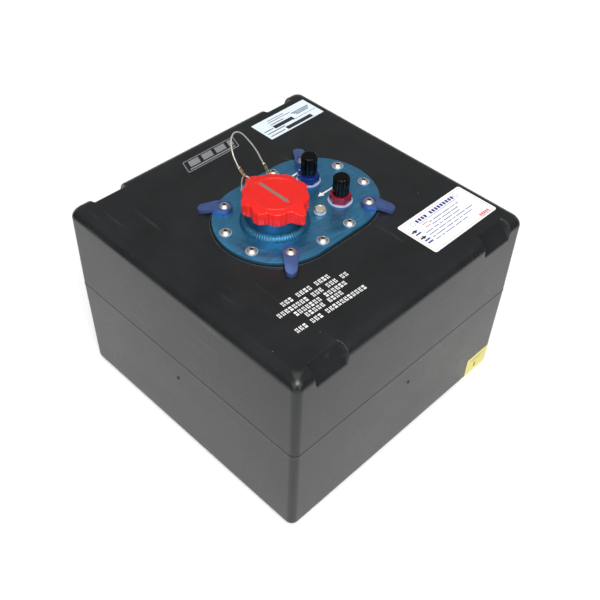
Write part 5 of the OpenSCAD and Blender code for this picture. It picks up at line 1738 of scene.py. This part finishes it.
        def patch(form, runs, heights, out):
            """Thin sheet on the wall over a grid of places."""
            edge = [(r, heights[0]) for r in runs] + [(runs[-1], z) for z in heights[1:]]
            edge += [(r, heights[-1]) for r in reversed(runs[:-1])]
            edge += [(runs[0], z) for z in reversed(heights[1:-1])]
            sheets = []
            for lift in (0.02 * MM, out):
                grid = [[form.verts.new(spot(r, z, lift)) for r in runs] for z in heights]
                for a, b in zip(grid, grid[1:]):
                    for k in range(len(runs) - 1):
                        form.faces.new((a[k], a[k + 1], b[k + 1], b[k]))
                where = {(r, z): grid[j][i] for i, r in enumerate(runs) for j, z in enumerate(heights)}
                sheets.append([where[p] for p in edge])
            for k, corner in enumerate(sheets[0]):
                n = (k + 1) % len(edge)
                form.faces.new((corner, sheets[0][n], sheets[1][n], sheets[1][k]))
            return form

        runs = [(119.8 + 1.75 * k) * MM for k in range(25)]
        heights = [(1.2 + 1.27 * k) * MM for k in range(27)]
        form = patch(bmesh.new(), runs, heights, sizes.sticker_t)
        piece("side_sticker", form, sticker_vinyl("yellow_vinyl", "yellow"))
        # Two rows of dashes and one upright bar
        bars = [(126.5 + 3.2 * k, 2.1, 27.6, 0.8) for k in range(8)]
        bars += [(131 + 3.2 * k, 1.9, 24.8, 0.7) for k in range(5)] + [(135.2, 2.6, 13.2, 6.6)]
        ink = bmesh.new()
        for start, long, z, tall in bars:
            places = [(start + long * k / 2) * MM for k in range(3)]
            patch(ink, places, [z * MM, (z + tall) * MM], sizes.sticker_t + sizes.ink_t)
        piece("side_sticker_bars", ink, printed_ink("black_screen_print", "black_ink"))


OPERATORS = (
    FUELCELL_OT_stage, FUELCELL_OT_lanyard, FUELCELL_OT_container, FUELCELL_OT_fill_plate,
    FUELCELL_OT_fasteners, FUELCELL_OT_tabs, FUELCELL_OT_neck, FUELCELL_OT_cap, FUELCELL_OT_flapper,
    FUELCELL_OT_ports, FUELCELL_OT_ground, FUELCELL_OT_inside, FUELCELL_OT_labels,
)


class FUELCELL_PT_panel(bpy.types.Panel):
    """Panel with the fuel cell's pieces, sizes and colours"""

    bl_idname = "FUELCELL_PT_panel"
    bl_label = "Fuel Cell"
    bl_space_type = "VIEW_3D"
    bl_region_type = "UI"
    bl_category = "Fuel Cell"

    def draw(self, context):
        for operator in OPERATORS:
            self.layout.operator(operator.bl_idname)
        for group in ("fuel_cell_sizes", "fuel_cell_colours", "fuel_cell_studio"):
            settings = getattr(context.scene, group)
            box = self.layout.box()
            for name in settings.bl_rna.properties.keys():
                if name not in ("rna_type", "name"):
                    box.prop(settings, name)


CLASSES = (FuelCellSizes, FuelCellColours, FuelCellStudio, *OPERATORS, FUELCELL_PT_panel)


def register():
    for made in CLASSES:
        bpy.utils.register_class(made)
    bpy.types.Scene.fuel_cell_sizes = PointerProperty(type=FuelCellSizes)
    bpy.types.Scene.fuel_cell_colours = PointerProperty(type=FuelCellColours)
    bpy.types.Scene.fuel_cell_studio = PointerProperty(type=FuelCellStudio)


def unregister():
    del bpy.types.Scene.fuel_cell_studio
    del bpy.types.Scene.fuel_cell_colours
    del bpy.types.Scene.fuel_cell_sizes
    for made in reversed(CLASSES):
        bpy.utils.unregister_class(made)


def main():
    register()
    for operator in OPERATORS:
        group, name = operator.bl_idname.split(".")
        getattr(getattr(bpy.ops, group), name)()


if __name__ == "__main__":
    main()
